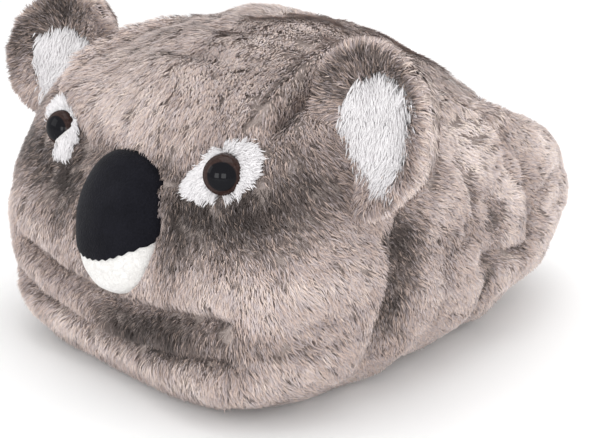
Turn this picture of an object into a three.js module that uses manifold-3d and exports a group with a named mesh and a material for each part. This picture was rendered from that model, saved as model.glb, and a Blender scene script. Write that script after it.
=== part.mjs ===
// An animal foot warmer: one big plush slipper, shaped as a koala, that both feet share.
// Frame: millimetres, +Z up, toe towards -Y, +X on the wearer's left, origin on the floor
// under the middle of the slipper.
import * as THREE from "three";
import Module from "manifold-3d";

const wasm = await Module();
wasm.setup();

// Driving sizes of the body.
const LENGTH = 320; // chin to heel
const HEAD_WIDTH = 262; // cheek to cheek
const CROWN_HEIGHT = 189; // floor to the top of the head
const HEEL_HEIGHT = 114; // floor to the rim at the heel
const WALL = 12; // fur cloth, wadding and lining
const HEM_WALL = 9; // the wall where it is turned in at the sole
const HEM_LIFT = 1.5; // the hem hangs this far off the floor
const OUTSOLE_THICKNESS = 9;
const INSOLE_THICKNESS = 8;
const SEAT_GAP = 0.3; // left between two pieces that touch

// Driving sizes of the face.
const EYE_DIAMETER = 20;
const EYE_DOME = 8; // how far an eye stands off the face
const PATCH_PILE = 4; // thickness of the white fur patches
const EYE_PATCH_LENGTH = 48;
const EYE_PATCH_WIDTH = 28;
const EAR_WIDTH = 70;
const EAR_HEIGHT = 84;
const EAR_THICKNESS = 20;
const EAR_PATCH_WIDTH = 44;
const EAR_PATCH_HEIGHT = 60;
const NOSE_WIDTH = 67;
const NOSE_HEIGHT = 78;
const NOSE_DEPTH = 34;
const NOSE_SUNK = 5; // how far the middle of the nose lies inside the skin
const NOSE_TIP_SHARE = 0.27; // share of the nose's height that is white
const LOCK_LENGTH = 21;
const LOCK_WIDTH = 13;
const LOCK_RISE = 3.2;

const SMALLEST_EDGE = 0.05; // slivers below this are merged away
const COLUMNS = 60; // round the slipper
const EAR_COLUMNS = 26;
const SMALL_COLUMNS = 20; // round an eye or the nose
const NOSE_ROWS = 11;
const TURN = 2 * Math.PI;

// The upper's outer skin is a stack of rings, from the hem on the floor up to the collar.
// front, widest and back are shares of LENGTH, half is a share of HEAD_WIDTH, zFront and zSide
// are shares of CROWN_HEIGHT and zBack of HEEL_HEIGHT. blunt and round are the exponents of the
// ring's front and back outline, and steps is the number of courses up to the next ring.
const RINGS = [
  {
    name: "edge", front: -0.430, widest: 0.02, back: 0.466, half: 0.362, zFront: 0.008,
    zSide: 0.008, zBack: 0.013, blunt: 4.2, round: 2.6, steps: 1,
  },
  {
    name: "hem", front: -0.457, widest: 0.01, back: 0.498, half: 0.420, zFront: 0.064,
    zSide: 0.064, zBack: 0.105, blunt: 4.4, round: 2.6, steps: 3,
  },
  {
    name: "chin", front: -0.470, widest: 0.00, back: 0.528, half: 0.492, zFront: 0.193,
    zSide: 0.193, zBack: 0.333, blunt: 4.8, round: 2.8, steps: 4,
  },
  {
    name: "cheek", front: -0.452, widest: -0.03, back: 0.536, half: 0.512, zFront: 0.396,
    zSide: 0.385, zBack: 0.544, blunt: 5.0, round: 3.0, steps: 4,
  },
  {
    name: "eye", front: -0.398, widest: -0.04, back: 0.528, half: 0.498, zFront: 0.674,
    zSide: 0.578, zBack: 0.737, blunt: 4.6, round: 3.0, steps: 3,
  },
  {
    name: "brow", front: -0.350, widest: 0.00, back: 0.508, half: 0.456, zFront: 0.824,
    zSide: 0.696, zBack: 0.868, blunt: 3.8, round: 3.0, steps: 3,
  },
  {
    name: "forehead", front: -0.258, widest: 0.07, back: 0.484, half: 0.404, zFront: 0.930,
    zSide: 0.748, zBack: 0.939, blunt: 3.0, round: 2.8, steps: 2,
  },
  {
    name: "crown", front: -0.116, widest: 0.16, back: 0.464, half: 0.362, zFront: 1.000,
    zSide: 0.724, zBack: 0.982, blunt: 2.5, round: 2.6, steps: 2,
  },
  {
    name: "nape", front: 0.016, widest: 0.24, back: 0.452, half: 0.336, zFront: 0.995,
    zSide: 0.688, zBack: 1.009, blunt: 2.3, round: 2.4, steps: 1,
  },
  {
    name: "collar", front: 0.094, widest: 0.28, back: 0.440, half: 0.318, zFront: 0.910,
    zSide: 0.655, zBack: 1.000, blunt: 2.2, round: 2.3, steps: 0,
  },
];

// Stuffed places that swell out of the skin: a middle and a radius each way, as shares of
// HEAD_WIDTH, LENGTH and CROWN_HEIGHT, and a height as a share of WALL. A row with pair true is
// on both cheeks.
const PUFFS = [
  {
    name: "muzzle", pair: false, x: 0, y: -0.444, z: 0.444, rx: 0.191, ry: 0.125, rz: 0.159,
    height: 0.083,
  },
  {
    name: "cheek", pair: true, x: 0.382, y: -0.381, z: 0.444, rx: 0.137, ry: 0.125, rz: 0.138,
    height: 0.417,
  },
  {
    name: "forehead", pair: false, x: 0, y: -0.287, z: 0.873, rx: 0.13, ry: 0.144, rz: 0.159,
    height: 0.333,
  },
  {
    name: "brow", pair: true, x: 0.267, y: -0.35, z: 0.783, rx: 0.092, ry: 0.075, rz: 0.063,
    height: 0.25,
  },
  {
    name: "jaw", pair: true, x: 0.321, y: -0.438, z: 0.116, rx: 0.191, ry: 0.106, rz: 0.074,
    height: 0.333,
  },
  {
    name: "flank", pair: true, x: 0.496, y: -0.05, z: 0.444, rx: 0.092, ry: 0.081, rz: 0.212,
    height: 0.333,
  },
  {
    name: "haunch", pair: true, x: 0.45, y: 0.3, z: 0.381, rx: 0.099, ry: 0.131, rz: 0.18,
    height: 0.333,
  },
  {
    name: "heel", pair: false, x: 0, y: 0.525, z: 0.296, rx: 0.229, ry: 0.075, rz: 0.159,
    height: 0.25,
  },
];

// Seams and folds that sink into the skin, each a line through three places, with the same
// shares. width is a share of HEAD_WIDTH and depth of WALL.
const FOLDS = [
  {
    name: "mouth", pair: true, x1: 0, y1: -0.469, z1: 0.228, x2: 0.305, y2: -0.456, z2: 0.307,
    x3: 0.496, y3: -0.306, z3: 0.349, width: 0.031, depth: 0.583,
  },
  {
    name: "lip", pair: true, x1: 0, y1: -0.466, z1: 0.116, x2: 0.305, y2: -0.456, z2: 0.19,
    x3: 0.473, y3: -0.356, z3: 0.254, width: 0.023, depth: 0.333,
  },
  {
    name: "neck", pair: true, x1: 0.5, y1: -0.175, z1: 0.614, x2: 0.511, y2: -0.191, z2: 0.423,
    x3: 0.477, y3: -0.225, z3: 0.159, width: 0.034, depth: 0.917,
  },
  {
    name: "nape", pair: true, x1: 0.496, y1: -0.131, z1: 0.614, x2: 0.466, y2: -0.059,
    z2: 0.693, x3: 0.374, y3: 0.006, z3: 0.836, width: 0.038, depth: 0.5,
  },
  {
    name: "brow seam", pair: true, x1: 0.282, y1: -0.131, z1: 0.931, x2: 0.328, y2: -0.275,
    z2: 0.852, x3: 0.321, y3: -0.35, z3: 0.772, width: 0.027, depth: 0.417,
  },
  {
    name: "eye seam", pair: true, x1: 0.321, y1: -0.35, z1: 0.772, x2: 0.153, y2: -0.403,
    z2: 0.651, x3: 0.061, y3: -0.397, z3: 0.672, width: 0.027, depth: 0.333,
  },
  {
    name: "side fold", pair: true, x1: 0.397, y1: 0.025, z1: 0.783, x2: 0.481, y2: 0.094,
    z2: 0.582, x3: 0.5, y3: 0.081, z3: 0.222, width: 0.034, depth: 0.5,
  },
];

// turn, lean, tip and patchLean are in degrees, and wide, tall, patchWide and patchTall are shares
// of the ear's own sizes: each ear has settled in its own way.
const EARS = [
  {
    name: "ear_left", side: 1, x: 0.485, y: -0.25, z: 0.81, turn: -2, lean: 14, tip: 6,
    wide: 1.02, tall: 1.0, patchLean: 34, patchWide: 1.0, patchTall: 0.96,
  },
  {
    name: "ear_right", side: -1, x: 0.469, y: -0.25, z: 0.825, turn: -16, lean: 24, tip: 6,
    wide: 1.18, tall: 0.9, patchLean: 30, patchWide: 1.2, patchTall: 0.84,
  },
];

// The section of an ear from the middle of its dish, over the rim, to the middle of its back.
// reach is a share of its radius, depth a share of EAR_THICKNESS towards the front.
const EAR_SECTION = [
  { name: "dish", reach: 0.22, depth: 0.16 },
  { name: "dish side", reach: 0.50, depth: 0.20 },
  { name: "slope", reach: 0.72, depth: 0.32 },
  { name: "rim front", reach: 0.87, depth: 0.42 },
  { name: "rim crest", reach: 0.97, depth: 0.30 },
  { name: "rim edge", reach: 1.00, depth: 0.02 },
  { name: "rim back", reach: 0.93, depth: -0.30 },
  { name: "back", reach: 0.72, depth: -0.46 },
  { name: "hollow back", reach: 0.34, depth: -0.52 },
];

const FUR = { color: 0xaa9a95, roughness: 0.95, metalness: 0 };
const DARK_FUR = { color: 0x9a8b86, roughness: 0.95, metalness: 0 };
const WHITE_FUR = { color: 0xe2dfde, roughness: 0.95, metalness: 0 };
const NOSE_FELT = { color: 0x26252c, roughness: 0.9, metalness: 0 };
const NOSE_FLEECE = { color: 0xe0dad8, roughness: 0.9, metalness: 0 };
const EYE_PLASTIC = { color: 0x2a1710, roughness: 0.12, metalness: 0 };
const LINING_PILE = { color: 0xcfc4bd, roughness: 0.95, metalness: 0 };
const SOLE_CLOTH = { color: 0x4b4644, roughness: 0.9, metalness: 0 };

const add = (a, b) => [a[0] + b[0], a[1] + b[1], a[2] + b[2]];
const sub = (a, b) => [a[0] - b[0], a[1] - b[1], a[2] - b[2]];
const scale = (a, s) => [a[0] * s, a[1] * s, a[2] * s];
const dot = (a, b) => a[0] * b[0] + a[1] * b[1] + a[2] * b[2];
const cross = (a, b) => [
  a[1] * b[2] - a[2] * b[1],
  a[2] * b[0] - a[0] * b[2],
  a[0] * b[1] - a[1] * b[0],
];
const unit = (a) => scale(a, 1 / Math.hypot(a[0], a[1], a[2]));
const clamp = (v, low, high) => Math.min(high, Math.max(low, v));

// A column of RINGS at a height t, counted in rings, through a smooth curve.
function ringColumn(column, t) {
  const i = clamp(Math.floor(t), 0, RINGS.length - 2);
  const u = t - i;
  const at = (k) => RINGS[clamp(k, 0, RINGS.length - 1)][column];
  const [p0, p1, p2, p3] = [at(i - 1), at(i), at(i + 1), at(i + 2)];
  const cubic = -p0 + 3 * p1 - 3 * p2 + p3;
  const square = 2 * p0 - 5 * p1 + 4 * p2 - p3;
  return 0.5 * (2 * p1 + (p2 - p0) * u + square * u * u + cubic * u * u * u);
}

// The plain skin at height t and angle a round the slipper, which is 0 at the toe.
function plainSkin(t, a) {
  const front = ringColumn("front", t) * LENGTH;
  const widest = ringColumn("widest", t) * LENGTH;
  const back = ringColumn("back", t) * LENGTH;
  const half = ringColumn("half", t) * HEAD_WIDTH;
  const power = Math.cos(a) > 0 ? ringColumn("blunt", t) : ringColumn("round", t);
  const reach = Math.cos(a) > 0 ? widest - front : back - widest;
  const spread = Math.abs(Math.sin(a) / half) ** power + Math.abs(Math.cos(a) / reach) ** power;
  const radius = spread ** (-1 / power);
  const x = radius * Math.sin(a);
  const y = widest - radius * Math.cos(a);
  const zFront = ringColumn("zFront", t) * CROWN_HEIGHT;
  const zSide = ringColumn("zSide", t) * CROWN_HEIGHT;
  const zBack = ringColumn("zBack", t) * HEEL_HEIGHT;
  const slopeFront = (zSide - zFront) / (widest - front);
  const slopeBack = (zBack - zSide) / (back - widest);
  const bend = (slopeBack - slopeFront) / (back - front);
  const z = zFront + slopeFront * (y - front) + bend * (y - front) * (y - widest);
  return [x, y, z];
}

function distanceToLine(p, a, b) {
  const along = sub(b, a);
  const share = clamp(dot(sub(p, a), along) / dot(along, along), 0, 1);
  const off = sub(p, add(a, scale(along, share)));
  return Math.hypot(off[0], off[1], off[2]);
}

// A place given as shares of the body's three sizes.
const bodyPlace = (x, y, z) => [x * HEAD_WIDTH, y * LENGTH, z * CROWN_HEIGHT];

// How far the stuffing pushes the skin out at p, less the depth of the folds there.
function relief(p) {
  const mirrored = [Math.abs(p[0]), p[1], p[2]];
  let height = 0;
  for (const puff of PUFFS) {
    const q = puff.pair ? mirrored : p;
    const dx = (q[0] / HEAD_WIDTH - puff.x) / puff.rx;
    const dy = (q[1] / LENGTH - puff.y) / puff.ry;
    const dz = (q[2] / CROWN_HEIGHT - puff.z) / puff.rz;
    height += puff.height * WALL * Math.exp(-(dx * dx + dy * dy + dz * dz));
  }
  for (const fold of FOLDS) {
    const q = fold.pair ? mirrored : p;
    const start = bodyPlace(fold.x1, fold.y1, fold.z1);
    const middle = bodyPlace(fold.x2, fold.y2, fold.z2);
    const end = bodyPlace(fold.x3, fold.y3, fold.z3);
    const off = Math.min(distanceToLine(q, start, middle), distanceToLine(q, middle, end));
    height -= fold.depth * WALL * Math.exp(-((off / (fold.width * HEAD_WIDTH)) ** 2));
  }
  return height;
}

function plainNormal(t, a) {
  const step = 0.02;
  const top = RINGS.length - 1;
  const up = sub(plainSkin(Math.min(t + step, top), a), plainSkin(Math.max(t - step, 0), a));
  const round = sub(plainSkin(t, a + step), plainSkin(t, a - step));
  return unit(cross(round, up));
}

// The upper's outer skin, or the form that lies a given distance off it.
function skin(t, a, off = 0) {
  const p = plainSkin(t, a);
  return add(p, scale(plainNormal(t, a), relief(p) + off));
}

// A solid from a stack of loops of equal length. A ring closes on itself, a plug has two caps.
function solidFromLoops(loops, closesOnItself) {
  const width = loops[0].length;
  const points = loops.flat();
  const faces = [];
  const last = closesOnItself ? loops.length : loops.length - 1;
  for (let r = 0; r < last; r += 1) {
    const lower = r * width;
    const upper = ((r + 1) % loops.length) * width;
    for (let c = 0; c < width; c += 1) {
      const n = (c + 1) % width;
      faces.push([lower + c, lower + n, upper + n], [lower + c, upper + n, upper + c]);
    }
  }
  if (!closesOnItself) {
    for (const [row, flip] of [[0, true], [loops.length - 1, false]]) {
      const loop = loops[row];
      points.push(scale(loop.reduce(add), 1 / width));
      const hub = points.length - 1;
      for (let c = 0; c < width; c += 1) {
        const pair = [row * width + c, row * width + ((c + 1) % width)];
        faces.push(flip ? [hub, pair[1], pair[0]] : [hub, pair[0], pair[1]]);
      }
    }
  }
  return solidFromFaces(points, faces);
}

function solidFromFaces(points, faces) {
  const volume = faces.reduce((sum, [i, j, k]) => sum + dot(points[i], cross(points[j], points[k])), 0);
  const outward = volume >= 0 ? faces : faces.map(([i, j, k]) => [i, k, j]);
  const mesh = new wasm.Mesh({
    numProp: 3,
    vertProperties: new Float32Array(points.flat()),
    triVerts: new Uint32Array(outward.flat()),
  });
  return new wasm.Manifold(mesh);
}

// The courses of the skin: every ring of the table and the steps between them.
function courseHeights() {
  const heights = [];
  RINGS.forEach((ring, index) => {
    for (let k = 0; k < ring.steps; k += 1) {
      heights.push(index + k / ring.steps);
    }
  });
  heights.push(RINGS.length - 1);
  return heights;
}

function around(place) {
  return Array.from({ length: COLUMNS }, (unused, c) => place((c / COLUMNS) * TURN));
}

const COURSES = courseHeights();
const TOP = RINGS.length - 1;

// The body as one filled form, a given distance off the skin, to seat the other pieces on.
function bodyForm(off) {
  const loops = COURSES.map((t) => around((a) => skin(t, a, off)));
  return solidFromLoops(loops, false);
}

// The plan of the foot's space at the sole: the hem's edge, less its turned-in wall.
function soleOutline(inset, z) {
  return around((a) => {
    const p = plainSkin(0, a);
    const step = 0.01;
    const along = sub(plainSkin(0, a + step), plainSkin(0, a - step));
    const inward = unit([-along[1], along[0], 0]);
    return [p[0] + inward[0] * (HEM_WALL + inset), p[1] + inward[1] * (HEM_WALL + inset), z];
  });
}

const FOOTBED_TOP = OUTSOLE_THICKNESS + SEAT_GAP + INSOLE_THICKNESS;

function buildUpper() {
  const outer = COURSES.map((t) => around((a) => skin(t, a)));
  const lining = (t) => around((a) => add(plainSkin(t, a), scale(plainNormal(t, a), -WALL)));
  const lip = around((a) => {
    const rim = skin(TOP, a);
    const under = add(plainSkin(TOP, a), scale(plainNormal(TOP, a), -WALL));
    const upward = unit(sub(plainSkin(TOP, a), plainSkin(TOP - 0.3, a)));
    return add(scale(add(rim, under), 0.5), scale(upward, WALL * 0.32));
  });
  const liningHeights = [TOP, TOP - 0.8, 7, 5.8, 4.6, 3.4, 2.3];
  const inner = liningHeights.map(lining);
  const foot = [FOOTBED_TOP + 4, HEM_LIFT].map((z) => soleOutline(0, z));
  return solidFromLoops([...outer, lip, ...inner, ...foot], true);
}

function buildOutsole() {
  const rounding = 2;
  return solidFromLoops([
    soleOutline(SEAT_GAP + rounding, 0),
    soleOutline(SEAT_GAP, rounding),
    soleOutline(SEAT_GAP, OUTSOLE_THICKNESS),
  ], false);
}

function buildInsole() {
  const rounding = 3;
  const bottom = OUTSOLE_THICKNESS + SEAT_GAP;
  return solidFromLoops([
    soleOutline(SEAT_GAP, bottom),
    soleOutline(SEAT_GAP, FOOTBED_TOP - rounding),
    soleOutline(SEAT_GAP + rounding, FOOTBED_TOP),
  ], false);
}

// The place on the front of the skin with a given x and z, and the way it faces there.
function facePlace(x, z) {
  let best = { miss: Infinity };
  for (let t = 1; t < 7; t += 0.05) {
    for (let a = -1.5; a < 1.5; a += 0.02) {
      const p = skin(t, a);
      const miss = Math.hypot(p[0] - x, p[2] - z);
      if (miss < best.miss) {
        best = { miss, t, a, point: p, out: plainNormal(t, a) };
      }
    }
  }
  return best;
}

// Three axes of a flat thing: out of its face, up its face and across it.
function axesFor(out, upHint) {
  const across = unit(cross(upHint, out));
  return { out, across, up: cross(out, across) };
}

function placed(origin, axes, across, up, out) {
  const flat = add(scale(axes.across, across), scale(axes.up, up));
  return add(origin, add(flat, scale(axes.out, out)));
}

function prism(origin, axes, drawn, from, to) {
  const shape = drawn.map(([u, v]) => new THREE.Vector2(u, v));
  const counterclockwise = (corners) => THREE.ShapeUtils.area(corners) > 0;
  const outline = counterclockwise(shape) ? shape : shape.reverse();
  const lower = outline.map(({ x, y }) => placed(origin, axes, x, y, from));
  const upper = outline.map(({ x, y }) => placed(origin, axes, x, y, to));
  const count = outline.length;
  const faces = [];
  for (let i = 0; i < count; i += 1) {
    const n = (i + 1) % count;
    faces.push([i, n, count + n], [i, count + n, count + i]);
  }
  for (const corners of THREE.ShapeUtils.triangulateShape(outline, [])) {
    const forward = counterclockwise(corners.map((corner) => outline[corner]));
    const [i, j, k] = forward ? corners : [...corners].reverse();
    faces.push([i, k, j], [count + i, count + j, count + k]);
  }
  return solidFromFaces([...lower, ...upper], faces);
}

// The ragged outline of a fur patch: a drop that narrows to a tip, its edge in teeth of fur.
function dropOutline(length, width, lean, narrow, teeth, ragged) {
  const outline = [];
  for (let i = 0; i < teeth * 2; i += 1) {
    const a = (i / (teeth * 2)) * TURN;
    const tooth = i % 2 === 0 ? ragged : -ragged;
    const narrowing = 1 - narrow * (0.5 - 0.5 * Math.cos(a));
    const u = Math.sin(a) * (width / 2 + tooth) * narrowing;
    const v = Math.cos(a) * (length / 2 + tooth);
    outline.push([u * Math.cos(lean) - v * Math.sin(lean), u * Math.sin(lean) + v * Math.cos(lean)]);
  }
  return outline;
}

const SKIN_FORM = bodyForm(0);
const SEAT_FORM = bodyForm(SEAT_GAP);
const PATCH_FORM = bodyForm(PATCH_PILE);

const EYES = [
  { name: "left", side: 1, x: 0.263, z: 0.683 },
  { name: "right", side: -1, x: 0.248, z: 0.677 },
];

const eyePlace = (eye) => facePlace(eye.side * eye.x * HEAD_WIDTH, eye.z * CROWN_HEIGHT);

function domeLoops(origin, axes, radius, height, off) {
  const root = -4;
  const rows = [root, 0, 0.36, 0.64, 0.86, 1];
  return rows.map((share) => {
    const turn = Math.max(share, 0) * Math.PI / 2;
    const reach = (radius + off) * Math.cos(turn * 0.93);
    const rise = share < 0 ? root - off : (height + off) * Math.sin(turn);
    return Array.from({ length: SMALL_COLUMNS }, (unused, c) => {
      const a = (c / SMALL_COLUMNS) * TURN;
      return placed(origin, axes, Math.cos(a) * reach, Math.sin(a) * reach, rise);
    });
  });
}

function buildEye(eye, off) {
  const place = eyePlace(eye);
  const axes = axesFor(place.out, [0, 0, 1]);
  const dome = solidFromLoops(domeLoops(place.point, axes, EYE_DIAMETER / 2, EYE_DOME, off), false);
  return off > 0 ? dome : dome.subtract(SEAT_FORM);
}

function buildEyePatch(eye) {
  const place = eyePlace(eye);
  const axes = axesFor(place.out, [0, 0, 1]);
  const lean = eye.side * -62 * Math.PI / 180;
  const outline = dropOutline(EYE_PATCH_LENGTH, EYE_PATCH_WIDTH, lean, 0.4, 11, 1.8);
  const cut = prism(place.point, axes, outline, -14, 16);
  return cut.intersect(PATCH_FORM).subtract(SEAT_FORM).subtract(buildEye(eye, SEAT_GAP));
}

const earMiddle = (ear) => bodyPlace(ear.side * ear.x, ear.y, ear.z);

function earAxes(ear) {
  const turn = ear.side * ear.turn * Math.PI / 180;
  const tip = ear.tip * Math.PI / 180;
  const out = unit([Math.sin(turn) * Math.cos(tip), -Math.cos(turn) * Math.cos(tip), Math.sin(tip)]);
  const lean = ear.side * ear.lean * Math.PI / 180;
  return axesFor(out, [Math.sin(lean), 0, Math.cos(lean)]);
}

function earLoops(ear, off) {
  const origin = earMiddle(ear);
  const axes = earAxes(ear);
  const outline = (a) => {
    const power = 2.25;
    const u = Math.cos(a);
    const v = Math.sin(a);
    const spread = Math.abs(u / (EAR_WIDTH * ear.wide / 2)) ** power + Math.abs(v / (EAR_HEIGHT * ear.tall / 2)) ** power;
    return spread ** (-1 / power);
  };
  const loops = EAR_SECTION.map((row) => Array.from({ length: EAR_COLUMNS }, (unused, c) => {
    const a = (c / EAR_COLUMNS) * TURN;
    const radius = outline(a) * row.reach;
    return placed(origin, axes, Math.cos(a) * radius, Math.sin(a) * radius, row.depth * EAR_THICKNESS);
  }));
  return off === 0 ? loops : loops.map((loop) => loop.map((p) => add(p, scale(axes.out, off))));
}

function earLocks(ear) {
  const origin = earMiddle(ear);
  const axes = earAxes(ear);
  const locks = [];
  for (let k = 0; k < 16; k += 1) {
    const a = (k / 16) * TURN + 0.12 * ((k % 3) - 1);
    const outward = [Math.cos(a), Math.sin(a)];
    if (outward[0] * ear.side < -0.35) {
      continue; // towards the head, where the ear is sewn on
    }
    const reachU = (EAR_WIDTH * ear.wide / 2) * 0.86 * outward[0];
    const reachV = (EAR_HEIGHT * ear.tall / 2) * 0.86 * outward[1];
    const facing = k % 2 === 0 ? 0.34 : -0.28;
    const root = placed(origin, axes, reachU, reachV, facing * EAR_THICKNESS);
    const flow = unit(add(scale(axes.across, outward[0]), scale(axes.up, outward[1])));
    const out = scale(axes.out, Math.sign(facing));
    locks.push(lock(root, flow, out, LOCK_LENGTH * 0.62, LOCK_WIDTH * 0.9, LOCK_RISE * 0.9));
  }
  return locks;
}

// A lock of fur: a leaf with a ridge, rooted in the cloth, its tip standing a little off it.
function lock(root, flow, out, length, width, rise) {
  const across = unit(cross(out, flow));
  const at = (u, v, w) => add(root, add(scale(flow, u), add(scale(across, v), scale(out, w))));
  const points = [
    at(0, 0, -2.5),
    at(length * 0.38, -width / 2, -2.5),
    at(length * 0.38, width / 2, -2.5),
    at(length * 0.5, 0, rise),
    at(length, 0, rise * 0.35),
  ];
  return solidFromFaces(points, [[0, 3, 1], [0, 2, 3], [1, 3, 4], [3, 2, 4], [0, 1, 4], [0, 4, 2]]);
}

const EAR_SOLIDS = EARS.map((ear) => {
  const disc = solidFromLoops(earLoops(ear, 0), false);
  return disc.add(wasm.Manifold.union(earLocks(ear))).subtract(SEAT_FORM);
});

function buildEarPatch(ear) {
  const front = solidFromLoops(earLoops(ear, PATCH_PILE), false);
  const seat = solidFromLoops(earLoops(ear, SEAT_GAP), false);
  const origin = placed(earMiddle(ear), earAxes(ear), ear.side * 3, -2, 0);
  const lean = ear.side * ear.patchLean * Math.PI / 180;
  const width = EAR_PATCH_WIDTH * ear.patchWide;
  const outline = dropOutline(EAR_PATCH_HEIGHT * ear.patchTall, width, lean, 0.62, 12, 2);
  const cut = prism(origin, earAxes(ear), outline, 0, EAR_THICKNESS);
  return cut.intersect(front).subtract(seat).subtract(SEAT_FORM);
}

const NOSE_MIDDLE = 0.484; // the nose's height on the face, as a share of CROWN_HEIGHT

function noseForm(off) {
  const place = facePlace(0, NOSE_MIDDLE * CROWN_HEIGHT);
  const axes = axesFor(unit([0, -1, 0.18]), [0, 0, 1]);
  const origin = add(place.point, scale(axes.out, -NOSE_SUNK));
  const loops = [];
  for (let r = 1; r < NOSE_ROWS; r += 1) {
    const b = -Math.PI / 2 + (r / NOSE_ROWS) * Math.PI;
    const rise = Math.sin(b);
    const egg = 1 + 0.04 * rise;
    const level = Math.cos(b) ** 0.7;
    loops.push(Array.from({ length: SMALL_COLUMNS }, (unused, c) => {
      const a = (c / SMALL_COLUMNS) * TURN;
      const u = Math.cos(a) * level * egg * (NOSE_WIDTH / 2 + off);
      const w = Math.sin(a) * level * (NOSE_DEPTH / 2 + off);
      return placed(origin, axes, u, rise * (NOSE_HEIGHT / 2 + off), w);
    }));
  }
  return solidFromLoops(loops, false);
}

function noseCut(isTop) {
  const axes = axesFor(unit([0, -1, 0.18]), [0, 0, 1]);
  const origin = facePlace(0, NOSE_MIDDLE * CROWN_HEIGHT).point;
  const level = -NOSE_HEIGHT / 2 + NOSE_HEIGHT * NOSE_TIP_SHARE;
  const scallops = 9;
  const edge = [];
  for (let i = 0; i <= scallops * 2; i += 1) {
    const u = -NOSE_WIDTH * 0.6 + (i / (scallops * 2)) * NOSE_WIDTH * 1.2;
    const bow = 5 * (u / (NOSE_WIDTH / 2)) ** 2 + 0.12 * u;
    const scallop = i % 2 === 0 ? 1.2 : -1.2;
    edge.push([u, level + bow + scallop + (isTop ? SEAT_GAP : 0)]);
  }
  const far = isTop ? NOSE_HEIGHT : -NOSE_HEIGHT;
  const outline = [...edge, [NOSE_WIDTH, far], [-NOSE_WIDTH, far]];
  return prism(origin, axes, outline, -NOSE_DEPTH * 1.5, NOSE_DEPTH * 1.5);
}

const NOSE_BODY = noseForm(0).subtract(SEAT_FORM);

// Fur locks on the upper stand clear of whatever is fastened to it.
const KEEP_CLEAR = [
  ...EYES.map((eye) => ({
    at: eyePlace(eye).point,
    radius: EYE_PATCH_LENGTH / 2 + LOCK_LENGTH / 2,
  })),
  ...EARS.map((ear) => ({ at: earMiddle(ear), radius: EAR_HEIGHT / 2 + LOCK_LENGTH / 2 })),
  ...[0.2, -0.25].map((share) => ({
    at: facePlace(0, NOSE_MIDDLE * CROWN_HEIGHT + share * NOSE_HEIGHT).point,
    radius: NOSE_WIDTH / 2 + LOCK_LENGTH / 2 + 2,
  })),
];

// Courses of locks on the upper: a height t in rings, how many go round, and their size.
const LOCK_COURSES = [
  { name: "hem", t: 1.45, count: 22, size: 0.9 },
  { name: "chin", t: 2.6, count: 20, size: 1.1 },
  { name: "cheek", t: 3.5, count: 20, size: 1.15 },
  { name: "eye", t: 4.4, count: 18, size: 1.1 },
  { name: "forehead", t: 5.6, count: 16, size: 1.1 },
  { name: "nape", t: 7.4, count: 12, size: 1.0 },
];

function upperLocks() {
  const locks = [];
  LOCK_COURSES.forEach((course, index) => {
    for (let k = 0; k < course.count; k += 1) {
      const a = ((k + (index % 2) / 2) / course.count) * TURN;
      const root = skin(course.t, a);
      const flow = unit(sub(skin(course.t - 0.25, a), root));
      const middle = add(root, scale(flow, LOCK_LENGTH / 2));
      const clear = KEEP_CLEAR.every((spot) => Math.hypot(...sub(middle, spot.at)) > spot.radius);
      const inFold = Math.min(relief(root), relief(middle)) < -1.5;
      if (clear && !inFold) {
        const out = plainNormal(course.t, a);
        const size = course.size * (1 + 0.12 * Math.sin(k * 2.3 + index));
        locks.push(lock(root, flow, out, LOCK_LENGTH * size, LOCK_WIDTH * size, LOCK_RISE));
      }
    }
  });
  return wasm.Manifold.union(locks);
}

const SOLIDS = [
  ["outsole", buildOutsole(), SOLE_CLOTH],
  ["insole", buildInsole(), LINING_PILE],
  ["upper", buildUpper().add(upperLocks()), FUR],
  ["ear_left", EAR_SOLIDS[0], DARK_FUR],
  ["ear_right", EAR_SOLIDS[1], DARK_FUR],
  ["ear_patch_left", buildEarPatch(EARS[0]), WHITE_FUR],
  ["ear_patch_right", buildEarPatch(EARS[1]), WHITE_FUR],
  ["eye_patch_left", buildEyePatch(EYES[0]), WHITE_FUR],
  ["eye_patch_right", buildEyePatch(EYES[1]), WHITE_FUR],
  ["eye_left", buildEye(EYES[0], 0), EYE_PLASTIC],
  ["eye_right", buildEye(EYES[1], 0), EYE_PLASTIC],
  ["nose", NOSE_BODY.intersect(noseCut(true)), NOSE_FELT],
  ["nose_tip", NOSE_BODY.intersect(noseCut(false)), NOSE_FLEECE],
];

// Each solid as a mesh, shifted so that the origin is under the middle of the slipper.
const boxes = SOLIDS.map(([, solid]) => solid.boundingBox());
const reach = (pick, side, axis) => pick(...boxes.map((box) => box[side][axis]));
const middleX = (reach(Math.min, "min", 0) + reach(Math.max, "max", 0)) / 2;
const middleY = (reach(Math.min, "min", 1) + reach(Math.max, "max", 1)) / 2;

const slipper = new THREE.Group();
slipper.name = "koala_foot_warmer";
for (const [name, solid, look] of SOLIDS) {
  const mesh = solid.translate([-middleX, -middleY, 0]).simplify(SMALLEST_EDGE).getMesh();
  const geometry = new THREE.BufferGeometry();
  const points = new Float32Array(mesh.vertProperties);
  geometry.setAttribute("position", new THREE.BufferAttribute(points, 3));
  geometry.setIndex(new THREE.BufferAttribute(new Uint32Array(mesh.triVerts), 1));
  geometry.computeVertexNormals();
  const piece = new THREE.Mesh(geometry, new THREE.MeshStandardMaterial(look));
  piece.name = name;
  slipper.add(piece);
}

export default slipper;
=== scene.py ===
"""An animal foot warmer: one big plush slipper in soft mottled fur, for both feet at once.

It has a cloth sole, a fleece footbed, a hollow fur upper, two padded ears with white
fronts, white eye patches, plastic eyes and a stuffed nose. The pieces come in the order
in which they are made up. Metres, Z up, toe towards -Y, +X on the wearer's left.
"""

import math

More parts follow.
